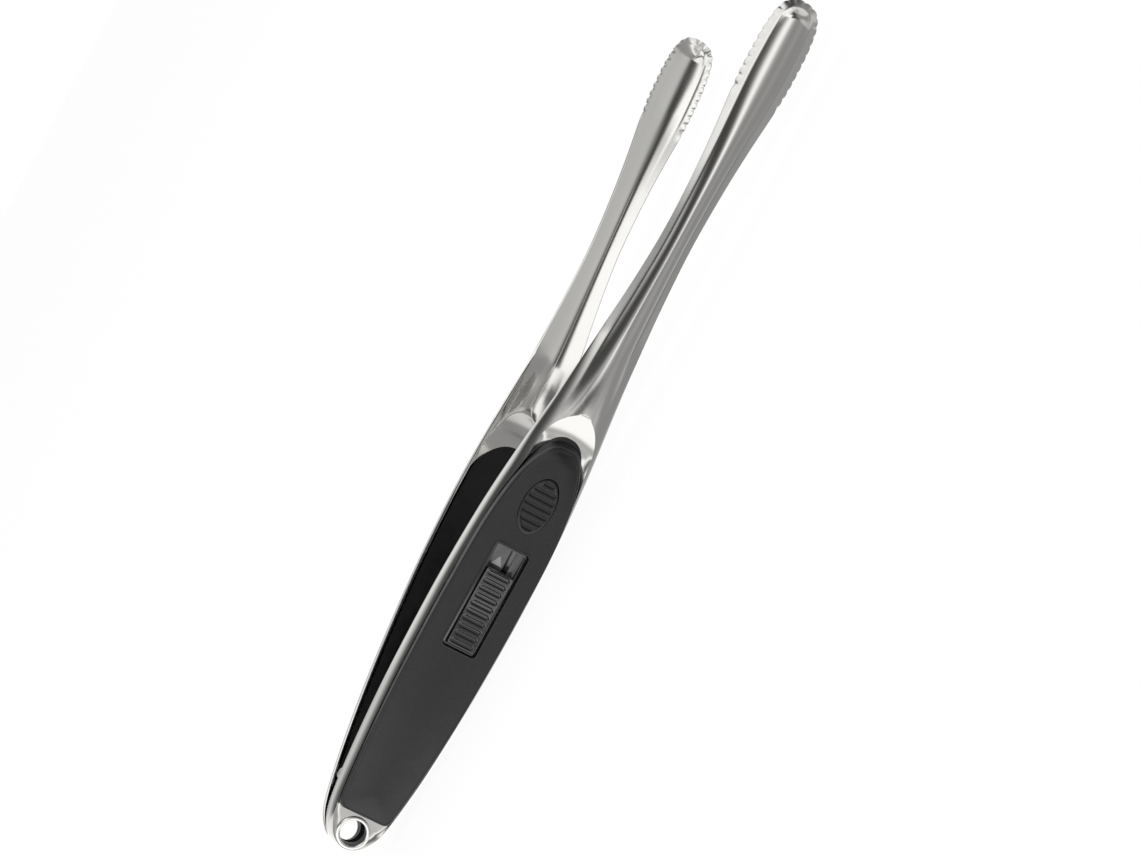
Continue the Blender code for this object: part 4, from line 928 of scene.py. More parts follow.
def linear(hex_colour):
    """An sRGB hex colour as linear RGBA."""
    channels = [int(hex_colour[i:i + 2], 16) / 255 for i in (1, 3, 5)]
    return tuple(
        c / 12.92 if c <= 0.04045 else ((c + 0.055) / 1.055) ** 2.4 for c in channels
    ) + (1.0,)


def add_node(tree, kind, sockets=None, **settings):
    """Add a node with its settings; a socket takes a value, or a link where it is given an output."""
    node = tree.nodes.new(kind)
    for key, value in settings.items():
        setattr(node, key, value)
    for key, value in (sockets or {}).items():
        if isinstance(value, bpy.types.NodeSocket):
            tree.links.new(value, node.inputs[key])
        else:
            node.inputs[key].default_value = value
    return node


def new_material(name, colour, roughness, metallic=0.0, **more):
    """A material with its uniform values on the shader, and its node tree to build on."""
    made = bpy.data.materials.new(name)
    made.use_nodes = True
    made.diffuse_color = linear(colour)
    tree = made.node_tree
    shader = tree.nodes["Principled BSDF"]
    shader.inputs["Base Color"].default_value = linear(colour)
    shader.inputs["Roughness"].default_value = roughness
    shader.inputs["Metallic"].default_value = metallic
    for key, value in more.items():
        shader.inputs[key].default_value = value
    where = add_node(tree, "ShaderNodeTexCoord")
    return made, tree, shader, where.outputs["Object"]


def noise(tree, where, size, detail=3.0, roughness=0.5, stretch=None):
    """A noise whose grains are about this size in metres, drawn out where a stretch is given."""
    if stretch:
        stretched = add_node(tree, "ShaderNodeMapping", {"Vector": where, "Scale": stretch})
        where = stretched.outputs["Vector"]
    return add_node(
        tree, "ShaderNodeTexNoise",
        {"Vector": where, "Scale": 1.0 / size, "Detail": detail, "Roughness": roughness},
    ).outputs["Fac"]


def spread(tree, value, low, high):
    """Stretch a value from its usual 0.3 to 0.7 to between two numbers."""
    return add_node(
        tree, "ShaderNodeMapRange",
        {"Value": value, "From Min": 0.3, "From Max": 0.7, "To Min": low, "To Max": high},
    ).outputs["Result"]


def blend_colours(tree, value, low, high):
    """Blend two hex colours by a value from 0 to 1."""
    return add_node(
        tree, "ShaderNodeMix", {"Factor": value, "A": linear(low), "B": linear(high)}, data_type="RGBA",
    ).outputs["Result"]


def mottle(tree, shader, value, roughness=None, colours=None):
    """Let a noise vary a finish: its colour, its roughness or both, each between two ends."""
    if colours:
        tone = blend_colours(tree, spread(tree, value, 0.0, 1.0), *colours)
        tree.links.new(tone, shader.inputs["Base Color"])
    if roughness:
        tree.links.new(spread(tree, value, *roughness), shader.inputs["Roughness"])


def relief(tree, shader, heights):
    """Bump from a list of (height output, depth in metres), one over the other."""
    normal = None
    for value, depth in heights:
        sockets = {"Height": value, "Distance": depth, "Strength": 1.0}
        if normal:
            sockets["Normal"] = normal
        normal = add_node(tree, "ShaderNodeBump", sockets).outputs["Normal"]
    tree.links.new(normal, shader.inputs["Normal"])


def polished_stainless():
    """Stainless sheet, mirror polished: sharp bands of the room, with a faint drawn waviness."""
    made, tree, shader, where = new_material("mirror_polished_stainless", "#D6D5D2", 0.09, 1.0)
    haze = noise(tree, where, 0.012, 4.0)
    mottle(tree, shader, haze, (0.11, 0.16))
    drawn = noise(tree, where, 0.004, 2.0, 0.4, (0.06, 1.0, 1.0))
    relief(tree, shader, [(drawn, 0.000012)])
    return made


def rolled_stainless():
    """Stainless eyelet, rolled and barrel polished: a bright soft ring with fine handling marks."""
    made, tree, shader, where = new_material("barrel_polished_stainless", "#EDECE9", 0.24, 1.0)
    marks = noise(tree, where, 0.0009, 5.0, 0.6)
    mottle(tree, shader, marks, (0.20, 0.30))
    relief(tree, shader, [(marks, 0.000004)])
    return made


def zinc_plated():
    """Mild steel stampings, barrel zinc plated: a cool satin grey with a slightly cloudy bloom."""
    made, tree, shader, where = new_material("zinc_plated_steel", "#B9BABC", 0.30, 1.0)
    cloud = noise(tree, where, 0.0030, 5.0, 0.6)
    mottle(tree, shader, cloud, (0.24, 0.40), ("#A5A6A9", "#C4C5C7"))
    relief(tree, shader, [(noise(tree, where, 0.0005, 3.0), 0.000010)])
    return made


def spring_wire():
    """Hard drawn spring wire: darker steel with fine lines along the draw."""
    made, tree, shader, where = new_material("hard_drawn_spring_wire", "#8F9092", 0.28, 1.0)
    tone = noise(tree, where, 0.0016, 4.0)
    mottle(tree, shader, tone, (0.22, 0.36), ("#7E7F82", "#A0A1A3"))
    relief(tree, shader, [(noise(tree, where, 0.0003, 2.0), 0.000006)])
    return made


def grained_rubber():
    """Overmoulded thermoplastic rubber, spark grained: matt black with a fine pebbled tooth.

    The real grain is about 0.25 mm; it is drawn at 0.45 mm so that it shows.
    """
    made, tree, shader, where = new_material("grained_black_tpr", "#131314", 0.36)
    cloud = noise(tree, where, 0.006, 3.0)
    grain = noise(tree, where, 0.00045, 2.0, 0.6)
    pebble = add_node(
        tree, "ShaderNodeTexVoronoi", {"Vector": where, "Scale": 1.0 / 0.0006}, feature="SMOOTH_F1",
    ).outputs["Distance"]
    mottle(tree, shader, grain, None, ("#0E0E0F", "#191919"))
    mottle(tree, shader, cloud, (0.30, 0.41))
    relief(tree, shader, [(grain, 0.00003), (pebble, 0.000025)])
    return made


def smooth_rubber():
    """The same rubber where the mould was polished, down the side of the grip: a satin black."""
    made, tree, shader, where = new_material("satin_black_tpr", "#161617", 0.33)
    cloud = noise(tree, where, 0.003, 4.0)
    mottle(tree, shader, cloud, (0.28, 0.40))
    relief(tree, shader, [(noise(tree, where, 0.0008, 3.0), 0.000012)])
    return made


def thumb_rubber():
    """The thumb rest's harder rubber, moulded smooth: dark grey with a soft sheen along its ribs."""
    made, tree, shader, where = new_material("soft_sheen_black_tpe", "#171718", 0.36)
    mottle(tree, shader, noise(tree, where, 0.003, 4.0), (0.30, 0.44))
    relief(tree, shader, [(noise(tree, where, 0.0004, 3.0), 0.000030)])
    return made


def satin_plastic():
    """Moulded glass filled nylon, satin: near black with a faint cloudy sheen."""
    more = {"Specular IOR Level": 0.3}
    made, tree, shader, where = new_material("satin_black_nylon", "#0B0B0C", 0.46, **more)
    cloud = noise(tree, where, 0.004, 4.0)
    mottle(tree, shader, cloud, (0.36, 0.50), ("#09090A", "#0E0E0F"))
    relief(tree, shader, [(noise(tree, where, 0.0005, 3.0), 0.000012)])
    return made


def gloss_plastic():
    """Moulded ABS from a polished mould: black with clear soft highlights."""
    more = {"Specular IOR Level": 0.9, "Coat Weight": 0.8, "Coat Roughness": 0.12}
    made, tree, shader, where = new_material("gloss_black_abs", "#141415", 0.22, **more)
    marks = noise(tree, where, 0.0015, 4.0)
    mottle(tree, shader, marks, (0.15, 0.27))
    relief(tree, shader, [(noise(tree, where, 0.0020, 2.0), 0.000010)])
    return made


def arrow_ink():
    """Pad printed grey ink of the lock arrow: flat grey, a little uneven."""
    made, tree, shader, where = new_material("grey_pad_print", "#A2A2A2", 0.45)
    speck = noise(tree, where, 0.0004, 3.0)
    mottle(tree, shader, speck, None, ("#8E8E8E", "#B4B4B4"))
    return made


def washer_nylon():
    """Machined natural nylon: milky off white, soft sheen, fine turning marks."""
    made, tree, shader, where = new_material("turned_natural_nylon", "#DAD6C8", 0.42)
    shader.inputs["Subsurface Weight"].default_value = 0.1
    shader.inputs["Subsurface Scale"].default_value = 0.001
    cloud = noise(tree, where, 0.0015, 3.0)
    mottle(tree, shader, cloud, None, ("#D2CDBE", "#E2DFD2"))
    relief(tree, shader, [(noise(tree, where, 0.0002, 2.0), 0.000006)])
    return made


MIRROR = polished_stainless()
EYELET = rolled_stainless()
ZINC = zinc_plated()
WIRE = spring_wire()
GRAINED = grained_rubber()
SATIN = smooth_rubber()
PADDED = thumb_rubber()
PLASTIC = satin_plastic()
GLOSS = gloss_plastic()
ARROW = arrow_ink()
NYLON = washer_nylon()

# Body that each side's pieces move with, and the word that each side's names begin with
BODY = {NEAR: "near_side", FAR: "far_side"}
LABEL = {NEAR: "near", FAR: "far"}


def dress(obj, finish, body, replaced=None):
    """Give a piece its finish and say what it moves with and stands for; a bending one has no body."""
    obj.data.materials.clear()
    obj.data.materials.append(finish)
    if body:
        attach(obj, body)
    if replaced:
        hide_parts(replaced)


# Arms


SECTIONS = arm_sections()


def hook_slot(low, high):
    """Cutter for the slot that the hook's stem travels in."""
    half = HOOK_THICKNESS / 2 + GAP
    loop = rectangle((HOOK_START - GAP, HOOK_OFFSET - half), (HOOK_END + GAP, HOOK_OFFSET + half))
    return plate("hook_slot", NEAR, "h", [loop], low, high)


def drill_screw_holes(obj, side):
    """Cut the holes of both liner screws through a piece."""
    radius = SCREW_RADIUS + GAP
    low = LINER_FACE - CUT_OVERRUN
    high = FLOOR_HEIGHT + 2 * GAP + SCREW_BITE
    for u in SCREW_US:
        hole = arm_cylinder("screw_hole", side, u, radius, low, high, SCREW_HOLE_SIDES)
        shape_with(obj, hole, "DIFFERENCE")


def hang_hole(side, radius):
    """Cutter for the hanging hole."""
    return arm_cylinder("hole", side, HOLE_U, radius, -CUT_OVERRUN, 2 * FLOOR_HEIGHT, HANG_HOLE_SIDES)


def make_arm(side):
    """The pressed sheet with its holes; the far arm is the near one turned over."""
    rows = [[arm_place(side, u, h, -side * w) for u, h, w in section] for section in SECTIONS]
    arm = skin(LABEL[side] + "_pressed_arm", rows, FORMED_CREASE)
    shape_with(arm, hang_hole(side, HOLE_RADIUS + COLLAR_WALL + GAP), "DIFFERENCE")
    drill_screw_holes(arm, side)
    if side == NEAR:
        shape_with(arm, hook_slot(CAVITY_LOW, FLOOR_HEIGHT + GAP), "DIFFERENCE")
    dress(arm, MIRROR, BODY[side], LABEL[side] + "_arm")


# Grips


GRIP_ARCH_CENTRE = HANDLE_LENGTH - GRIP_FRONT - GRIP_ARCH
GRIP_TOP_FRONT = HANDLE_LENGTH - GRIP_FRONT - GRIP_COLLAR_TOP


def grip_half(u, side_inset, front):
    """Half width of one outline of the grip, which closes in a blunt arch at its front."""
    at = min(u, GRIP_ARCH_CENTRE)
    half = float(half_width(at)) - LIP_INSET - side_inset
    ahead = min(1.0, max(0.0, (u - GRIP_ARCH_CENTRE) / (front - GRIP_ARCH_CENTRE)))
    return half * (1.0 - ahead**GRIP_ARCH_POWER) ** (1.0 / GRIP_ARCH_POWER)


def grip_loop(side_inset, tail, front):
    """One outline of the grip: square tail with round corners, sides and an arched front."""
    side_start = tail + GRIP_CORNER
    tail_half = grip_half(side_start, side_inset, front) - GRIP_CORNER
    upper = [(tail, tail_half * i / GRIP_TAIL_STEPS) for i in range(GRIP_TAIL_STEPS)]
    for i in range(GRIP_CORNER_STEPS):
        angle = math.pi / 2 * i / GRIP_CORNER_STEPS
        u = tail + GRIP_CORNER * (1.0 - math.cos(angle))
        upper.append((u, tail_half + GRIP_CORNER * math.sin(angle)))
    for i in range(GRIP_SIDE_STEPS):
        u = side_start + (GRIP_ARCH_CENTRE - tail - GRIP_CORNER) * i / GRIP_SIDE_STEPS
        upper.append((u, grip_half(u, side_inset, front)))
    for i in range(GRIP_ARCH_STEPS):
        angle = math.pi / 2 * i / GRIP_ARCH_STEPS
        u = GRIP_ARCH_CENTRE + (front - GRIP_ARCH_CENTRE) * math.sin(angle) ** (2.0 / GRIP_ARCH_POWER)
        upper.append((u, grip_half(u, side_inset, front)))
    upper.append((front, 0.0))
    return upper + [(u, -w) for u, w in reversed(upper[1:-1])]


def grip_edge(u):
    """Height of the grip's top edge."""
    return GRIP_EDGE_HEIGHT * float(along_arm(GRIP_EDGE, u))


def grip_top(u, across_share):
    """Height of the crowned top between its middle, 0, and its edge, 1."""
    return grip_edge(u) + GRIP_CROWN * (1.0 - across_share**2)


def grip_rows(side):
    """Sections of the grip from the middle of its underside, round its side, to its crowned middle."""
    front = HANDLE_LENGTH - GRIP_FRONT
    base = grip_loop(LIP_FOOT + GAP, GRIP_START + GAP, front)
    waist = grip_loop(GAP, GRIP_START, front - GRIP_COLLAR_MID)
    edge = grip_loop(GAP + GRIP_SIDE_STEP, GRIP_START + GAP, front - GRIP_COLLAR_TOP)
    rows = []
    for foot, mid, top in zip(base, waist, edge):
        ridge = min(max(top[0], GRIP_START + GRIP_RIDGE_TAIL), front - GRIP_RIDGE_FRONT)
        scoop = float(smooth((mid[0] - (HANDLE_LENGTH - SHOULDER_LENGTH)) / SCOOP_LENGTH))
        waist_height = float(lip_height(mid[0])) + GRIP_MID_RISE
        waist_height += (GRIP_SCOOP_MID - waist_height) * scoop
        if mid[0] > SPREAD_START:
            waist_height = max(waist_height, arm_top(*mid) + 2 * GAP)
        points = []
        for share in UNDERSIDE_SHARES:
            u = ridge + (foot[0] - ridge) * share
            low = arm_top(u, foot[1] * share) if u > SPREAD_START else float(floor_height(u))
            points.append((u, low + GAP, foot[1] * share))
        edge_height = grip_top(top[0], 1.0)
        for i in range(COLLAR_STEPS):
            share = i / COLLAR_STEPS
            u = mid[0] + (top[0] - mid[0]) * share
            w = mid[1] + (top[1] - mid[1]) * share
            swell = math.sin(math.pi / 2 * share)
            points.append((u, waist_height + (edge_height - waist_height) * swell, w))
        reach = math.hypot(top[0] - ridge, top[1])
        for step in EDGE_BEAD_SHARES:
            share = 1.0 - EDGE_BEAD_WIDTH * step / reach
            u = ridge + (top[0] - ridge) * share
            bead = EDGE_BEAD_HEIGHT * math.sin(math.pi * step)
            points.append((u, grip_top(u, share) + bead, top[1] * share))
        last = 1.0 - EDGE_BEAD_WIDTH / reach
        for part in PLATEAU_SHARES:
            share = last * part
            u = ridge + (top[0] - ridge) * share
            points.append((u, grip_top(u, share), top[1] * share))
        rows.append([arm_place(side, u, float(rim_bow(u)) + h, w) for u, h, w in points])
    return rows


def ring_bead(loop, top, radius):
    """A thin raised bead that follows a loop laid on the grip."""
    rows = []
    neighbours = zip(loop, loop[-1:] + loop[:-1], loop[1:] + loop[:1])
    for (u, w), (before_u, before_w), (after_u, after_w) in neighbours:
        along = Vector((after_u - before_u, after_w - before_w)).normalized()
        row = []
        for i in range(BEAD_STEPS + 1):
            angle = 2 * math.pi * i / BEAD_STEPS
            out = radius * math.cos(angle)
            up = radius * math.sin(angle)
            row.append((u + along.y * out, top(u, w) + up, w - along.x * out))
        rows.append(row)
    return rows


def top_at(u, w):
    """Height of the grip's top at a point on it."""
    side_half = grip_half(u, GAP + GRIP_SIDE_STEP, GRIP_TOP_FRONT)
    return grip_top(u, min(1.0, abs(w) / side_half)) + float(rim_bow(u))


def window_loop(clearance, radius, steps=CORNER_STEPS):
    """Outline of the window, this much wider all round."""
    half = WINDOW_WIDTH / 2 + clearance
    low = (WINDOW_START - clearance, -half)
    high = (WINDOW_START + WINDOW_LENGTH + clearance, half)
    return rounded_rectangle(low, high, radius, steps)


def thumb_seat():
    """Height of the floor of the thumb rest's pocket."""
    return grip_top(THUMB_U, (THUMB_WIDTH / 2) / float(half_width(THUMB_U))) - THUMB_DEPTH


def oval(clearance):
    """Outline of the thumb rest, this much wider all round."""
    loop = []
    for i in range(OVAL_STEPS):
        u = THUMB_U + (THUMB_LENGTH / 2 + clearance) * math.cos(2 * math.pi * i / OVAL_STEPS)
        loop.append((u, (THUMB_WIDTH / 2 + clearance) * math.sin(2 * math.pi * i / OVAL_STEPS)))
    return loop


def make_grip(side):
    """The textured pad with its smooth side wall and thumb pocket, and the near one's window."""
    label = LABEL[side]
    grip = skin(label + "_overmoulded_grip", grip_rows(side), SOFT_CREASE)
    high = thumb_seat() + THUMB_DEPTH + GRIP_CROWN + 2 * CUT_OVERRUN
    pocket = plate("thumb_pocket", side, "h", [oval(THUMB_CLEARANCE)], thumb_seat(), high)
    shape_with(grip, pocket, "DIFFERENCE")
    drill_screw_holes(grip, side)
    if side == NEAR:
        low, high = FLOOR_HEIGHT - CUT_OVERRUN, 2 * GRIP_EDGE_HEIGHT
        window = plate("window", side, "h", [window_loop(0.0, WINDOW_CORNER)], low, high)
        shape_with(grip, window, "DIFFERENCE")
    dress(grip, GRAINED, BODY[side], label + "_grip")
    grip.data.materials.append(SATIN)
    for face in grip.data.polygons:
        if is_side_wall(side, face.center):
            face.material_index = 1
    if side == NEAR:
        rows = ring_bead(window_loop(WINDOW_BEAD / 2, WINDOW_CORNER), top_at, WINDOW_BEAD)
        rows = [[arm_place(side, *point) for point in row] for row in rows]
        dress(skin("near_window_bead", rows), SATIN, BODY[side])


def arm_coordinates(side, point):
    """Where a world point lies on one arm, as u, h and w."""
    turn = side * OPEN_HALF_ANGLE
    x = point[0] - HINGE.x
    y = point[1] - HINGE.y
    along = x * math.cos(turn) + y * math.sin(turn)
    out = -x * math.sin(turn) + y * math.cos(turn)
    return along + PIVOT_U, side * out - PIVOT_DROP, point[2] - HINGE.z


def is_side_wall(side, point):
    """Whether a point of the grip lies below the bead round its top."""
    u, _, w = arm_coordinates(side, point)
    return u < GRIP_START + GAP or abs(w) > grip_half(u, GAP + GRIP_SIDE_STEP, GRIP_TOP_FRONT)


def groove_depth(u, w, centres, half_spans, half_groove):
    """How deep a point lies in a row of cross grooves, 0 to 1, with soft edges and round ends."""
    depth = 0.0
    for centre, half_span in zip(centres, half_spans):
        over = max(0.0, abs(w) - (half_span - half_groove))
        distance = math.hypot(u - centre, over)
        fade = smooth((distance - half_groove * GROOVE_FLAT_SHARE) / (half_groove * GROOVE_FADE_SHARE))
        depth = max(depth, 1.0 - float(fade))
    return depth


def make_thumb_rest(side):
    """An oval rest with a raised ring and cross grooves, let into the grip."""
    top = thumb_seat() + THUMB_DEPTH + THUMB_PROUD
    half_length = THUMB_LENGTH / 2
    half_across = THUMB_WIDTH / 2
    grip_reach = float(half_width(THUMB_U))
    pitch = (THUMB_LENGTH - 2 * THUMB_RIM) / THUMB_RIBS
    half_groove = pitch * THUMB_GROOVE_SHARE
    centres = [THUMB_U - half_length + THUMB_RIM + pitch * (i + 0.5) for i in range(THUMB_RIBS)]
    spans = []
    for centre in centres:
        widest = (abs(centre - THUMB_U) + half_groove) / (half_length - THUMB_RIM)
        narrowing = math.sqrt(max(THUMB_LEAST_SPAN, 1.0 - widest**2))
        spans.append((half_across - THUMB_RIM) * narrowing + half_groove * THUMB_SPAN_EXTRA)

    def height(u, w):
        edge = math.hypot((u - THUMB_U) / half_length, w / half_across)
        ring = math.exp(-((edge - THUMB_RING_SHARE) / THUMB_RING_WIDTH_SHARE) ** 2)
        fall = float(smooth((edge - THUMB_FALL_SHARE) / THUMB_FALL_WIDTH_SHARE))
        groove = groove_depth(u, w, centres, spans, half_groove)
        crown = GRIP_CROWN * ((half_across / grip_reach) ** 2 - (w / grip_reach) ** 2)
        return top + crown + THUMB_RING_HEIGHT * ring - THUMB_FALL * fall - THUMB_GROOVE * groove

    columns, lines = THUMB_GRID
    spots = []
    for i in range(columns + 1):
        a = 2.0 * i / columns - 1.0
        line = []
        for j in range(lines + 1):
            b = 2.0 * j / lines - 1.0
            u = THUMB_U + half_length * a * math.sqrt(1.0 - b * b / 2)
            w = half_across * b * math.sqrt(1.0 - a * a / 2)
            line.append((u, height(u, w), w))
        spots.append(line)
    rest = closed_pad(LABEL[side] + "_ribbed_thumb_oval", side, spots, thumb_seat() + GAP, SOFT_CREASE)
    dress(rest, PADDED, BODY[side], LABEL[side] + "_thumb_rest")


# Hanging hole


def make_eyelet(side):
    """A rolled ring on the arm round the mouth of the hanging hole."""
    inner = HOLE_RADIUS
    outer = HOLE_RADIUS + COLLAR_WALL + GAP + EYELET_SEAT
    bottom = FLOOR_HEIGHT + GAP
    middle = (inner + outer) / 2
    half = (outer - inner) / 2
    profile = [(outer, bottom), (inner, bottom)]
    for i in range(EYELET_STEPS + 1):
        angle = math.pi * (1.0 - i / EYELET_STEPS)
        rise = EYELET_WALL_SHARE + (1.0 - EYELET_WALL_SHARE) * math.sin(angle)
        profile.append((middle + half * math.cos(angle), bottom + EYELET_THICKNESS * rise))
    profile.append((outer, bottom))
    ring = arm_lathe(LABEL[side] + "_rolled_eyelet", side, HOLE_U, profile, EYELET_SIDES, SOFT_CREASE)
    dress(ring, EYELET, BODY[side], LABEL[side] + "_hang_eyelet")


# Liners


def liner_outline(inset):
    """Outline of a liner inside the rim: round tail, sides and a blunt arch at the front."""
    front = HANDLE_LENGTH - LINER_FRONT - (inset - SHEET - LINER_GUTTER)
    centre = HANDLE_LENGTH - LINER_FRONT - LINER_ARCH
    upper = []
    for i in range(LINER_TAIL_STEPS):
        u = TAIL_RIDGE * (1.0 - math.cos(math.pi / 2 * i / LINER_TAIL_STEPS))
        w = float(half_width(u))
        reach = math.hypot(u - TAIL_RIDGE, w)
        share = inset / reach
        upper.append((u + (TAIL_RIDGE - u) * share, w * (1.0 - share)))
    for i in range(LINER_SIDE_STEPS):
        u = TAIL_RIDGE + (centre - TAIL_RIDGE) * i / LINER_SIDE_STEPS
        upper.append((u, float(half_width(u)) - inset))
    width = float(half_width(centre)) - inset
    for i in range(LINER_ARCH_STEPS):
        angle = math.pi / 2 * i / LINER_ARCH_STEPS
        upper.append((centre + (front - centre) * math.sin(angle), width * math.cos(angle)))
    upper.append((front, 0.0))
    return upper + [(u, -w) for u, w in reversed(upper[1:-1])]


def ear_middles():
    """Middle of the near arm's ears, of the washers and of the far arm's ears across the hinge."""
    narrow = float(half_width(PIVOT_U - BRACKET_HALF_LENGTH)) - SHEET - EAR_WALL_CLEARANCE
    far_ear = narrow - GAP - EAR_THICKNESS / 2
    washer = far_ear - EAR_THICKNESS / 2 - GAP - WASHER_THICKNESS / 2
    near_ear = washer - WASHER_THICKNESS / 2 - GAP - EAR_THICKNESS / 2
    return near_ear, washer, far_ear


def ear_middle(side):
    """How far the middle of each ear of one arm lies from the arm's own middle."""
    near_ear, _, far_ear = ear_middles()
    return near_ear if side == NEAR else far_ear


def closing_lean():
    """How far each arm leans in when the tongs are shut."""
    inside = PIVOT_DROP + float(rim_bow(ARM_LENGTH)) - SHEET - JAW_GAP_CLOSED / 2
    return math.asin(inside / (ARM_LENGTH - PIVOT_U))


def cut_liner_slot(liner, side, low, high):
    """Cut a rectangular slot through a liner."""
    bottom, top = LINER_FACE - CUT_OVERRUN, CAVITY_LOW + CUT_OVERRUN
    shape_with(liner, plate("slot", side, "h", [rectangle(low, high)], bottom, top), "DIFFERENCE")


def make_liner(side):
    """The flat liner with its stop, the collar of the hanging hole and slots for ears and lock."""
    label = LABEL[side]
    outline = liner_outline(SHEET + LINER_GUTTER)
    liner = plate(label + "_flat_liner", side, "h", [outline], LINER_FACE, CAVITY_LOW)
    round_edges(liner, LINER_EDGE, 3)
    stop_end = STOP_U + STOP_LENGTH

    def middle(u):
        return -PIVOT_DROP - (u - PIVOT_U) * math.tan(OPEN_HALF_ANGLE) + GAP / 2

    rest = LINER_FACE + LINER_THICKNESS / 2
    loop = [(STOP_U, rest), (STOP_U, middle(STOP_U)), (stop_end, middle(stop_end)), (stop_end, rest)]
    stop = plate("stop", side, "w", [loop], -STOP_HALF_WIDTH, STOP_HALF_WIDTH)
    round_edges(stop, STOP_EDGE, 2)
    shape_with(liner, stop, "UNION")
    wall = HOLE_RADIUS + COLLAR_WALL
    collar = arm_cylinder("collar", side, HOLE_U, wall, rest, FLOOR_HEIGHT, HANG_HOLE_SIDES)
    shape_with(liner, collar, "UNION")
    shape_with(liner, hang_hole(side, HOLE_RADIUS), "DIFFERENCE")
    ear = ear_middle(side)
    half = EAR_THICKNESS / 2 + GAP
    reach = EAR_HALF_LENGTH + GAP
    for sign in (-1, 1):
        low = (PIVOT_U - reach, sign * ear - half)
        high = (PIVOT_U + reach, sign * ear + half)
        cut_liner_slot(liner, side, low, high)
    drill_screw_holes(liner, side)
    if side == NEAR:
        shape_with(liner, hook_slot(LINER_FACE - CUT_OVERRUN, CAVITY_LOW + CUT_OVERRUN), "DIFFERENCE")
    else:
        for sign in (-1, 1):
            outer = HOOK_OFFSET + sign * (KEEPER_WIDTH / 2 + GAP)
            inner = HOOK_OFFSET + sign * (KEEPER_WIDTH / 2 - KEEPER_BAR - GAP)
            low = (KEEPER_U - KEEPER_LENGTH / 2 - GAP, min(outer, inner))
            high = (KEEPER_U + KEEPER_LENGTH / 2 + GAP, max(outer, inner))
            cut_liner_slot(liner, side, low, high)
    dress(liner, PLASTIC, BODY[side], label + "_liner")


def make_screw(side, index, u):
    """A pan head screw with a cross recess."""
    seat = LINER_FACE - GAP
    head_low = seat - SCREW_HEAD_HEIGHT
    tip = FLOOR_HEIGHT + GAP + SCREW_BITE
    dome = []
    for i in range(SCREW_DOME_STEPS + 1):
        angle = math.pi / 2 * i / SCREW_DOME_STEPS
        rise = SCREW_HEAD_HEIGHT * SCREW_DOME_SHARE * (1.0 - math.cos(angle))
        dome.append((SCREW_HEAD_RADIUS * math.sin(angle), head_low + rise))
    thread = tip - SCREW_RADIUS
    profile = [(0.0, tip), (SCREW_RADIUS * SCREW_TIP_SHARE, tip), (SCREW_RADIUS, thread)]
    while thread - THREAD_PITCH > seat:
        profile.append((SCREW_RADIUS, thread))
        profile.append((SCREW_RADIUS * THREAD_ROOT_SHARE, thread - THREAD_PITCH / 2))
        thread -= THREAD_PITCH
    profile += [(SCREW_RADIUS, seat), (SCREW_HEAD_RADIUS, seat)] + dome[::-1]
    label = LABEL[side]
    screw = arm_lathe(f"{label}_pan_head_screw_{index}", side, u, profile, SCREW_SIDES, SHARP_CREASE)
    long = SCREW_HEAD_RADIUS * RECESS_REACH_SHARE
    thin = RECESS_HALF_WIDTH
    floor = head_low + SCREW_HEAD_HEIGHT * RECESS_DEPTH_SHARE
    for half_u, half_w in ((long, thin), (thin, long)):
        loop = rectangle((u - half_u, -half_w), (u + half_u, half_w))
        recess = plate("recess", side, "h", [loop], head_low - CUT_OVERRUN, floor)
        shape_with(screw, recess, "DIFFERENCE")
    dress(screw, ZINC, BODY[side], f"{label}_liner_screw_{index}")


# Hinge


def make_bracket(side):
    """A channel inside the tail with two ears that the hinge pin passes through."""
    middle = ear_middle(side)
    half = middle + EAR_THICKNESS / 2 - GAP
    base = rectangle((PIVOT_U - BRACKET_HALF_LENGTH, -half), (PIVOT_U + BRACKET_HALF_LENGTH, half))
    label = LABEL[side]
    bracket = plate(label + "_hinge_yoke", side, "h", [base], HINGE_SEAT, HINGE_SEAT + BRACKET_BASE)
    root = HINGE_SEAT + BRACKET_BASE / 2
    outline = [(PIVOT_U - EAR_HALF_LENGTH, root), (PIVOT_U - EAR_RADIUS, -PIVOT_DROP)]
    for i in range(1, EAR_STEPS):
        angle = math.pi * i / EAR_STEPS
        u = PIVOT_U - EAR_RADIUS * math.cos(angle)
        outline.append((u, -PIVOT_DROP - EAR_RADIUS * math.sin(angle)))
    outline += [(PIVOT_U + EAR_RADIUS, -PIVOT_DROP), (PIVOT_U + EAR_HALF_LENGTH, root)]
    for sign in (-1, 1):
        low = sign * middle - EAR_THICKNESS / 2
        high = sign * middle + EAR_THICKNESS / 2
        shape_with(bracket, plate("ear", side, "w", [outline], low, high), "UNION")
    profile = cylinder_profile(PIN_RADIUS + GAP, -HANDLE_WIDTH, HANDLE_WIDTH)
    shape_with(bracket, lathe("bore", profile, hinge_place, BORE_SIDES), "DIFFERENCE")
    round_edges(bracket, BRACKET_EDGE, 2)
    dress(bracket, ZINC, BODY[side], label + "_hinge_bracket")


def ring_profile(inner, outer, middle, thickness, soft):
    """Section of a flat ring whose four edges are cut back a little."""
    half = thickness / 2
    return [
        (outer - soft, middle + half), (outer, middle + half - soft), (outer, middle - half + soft),
        (outer - soft, middle - half), (inner + soft, middle - half), (inner, middle - half + soft),
        (inner, middle + half - soft), (inner + soft, middle + half), (outer - soft, middle + half),
    ]


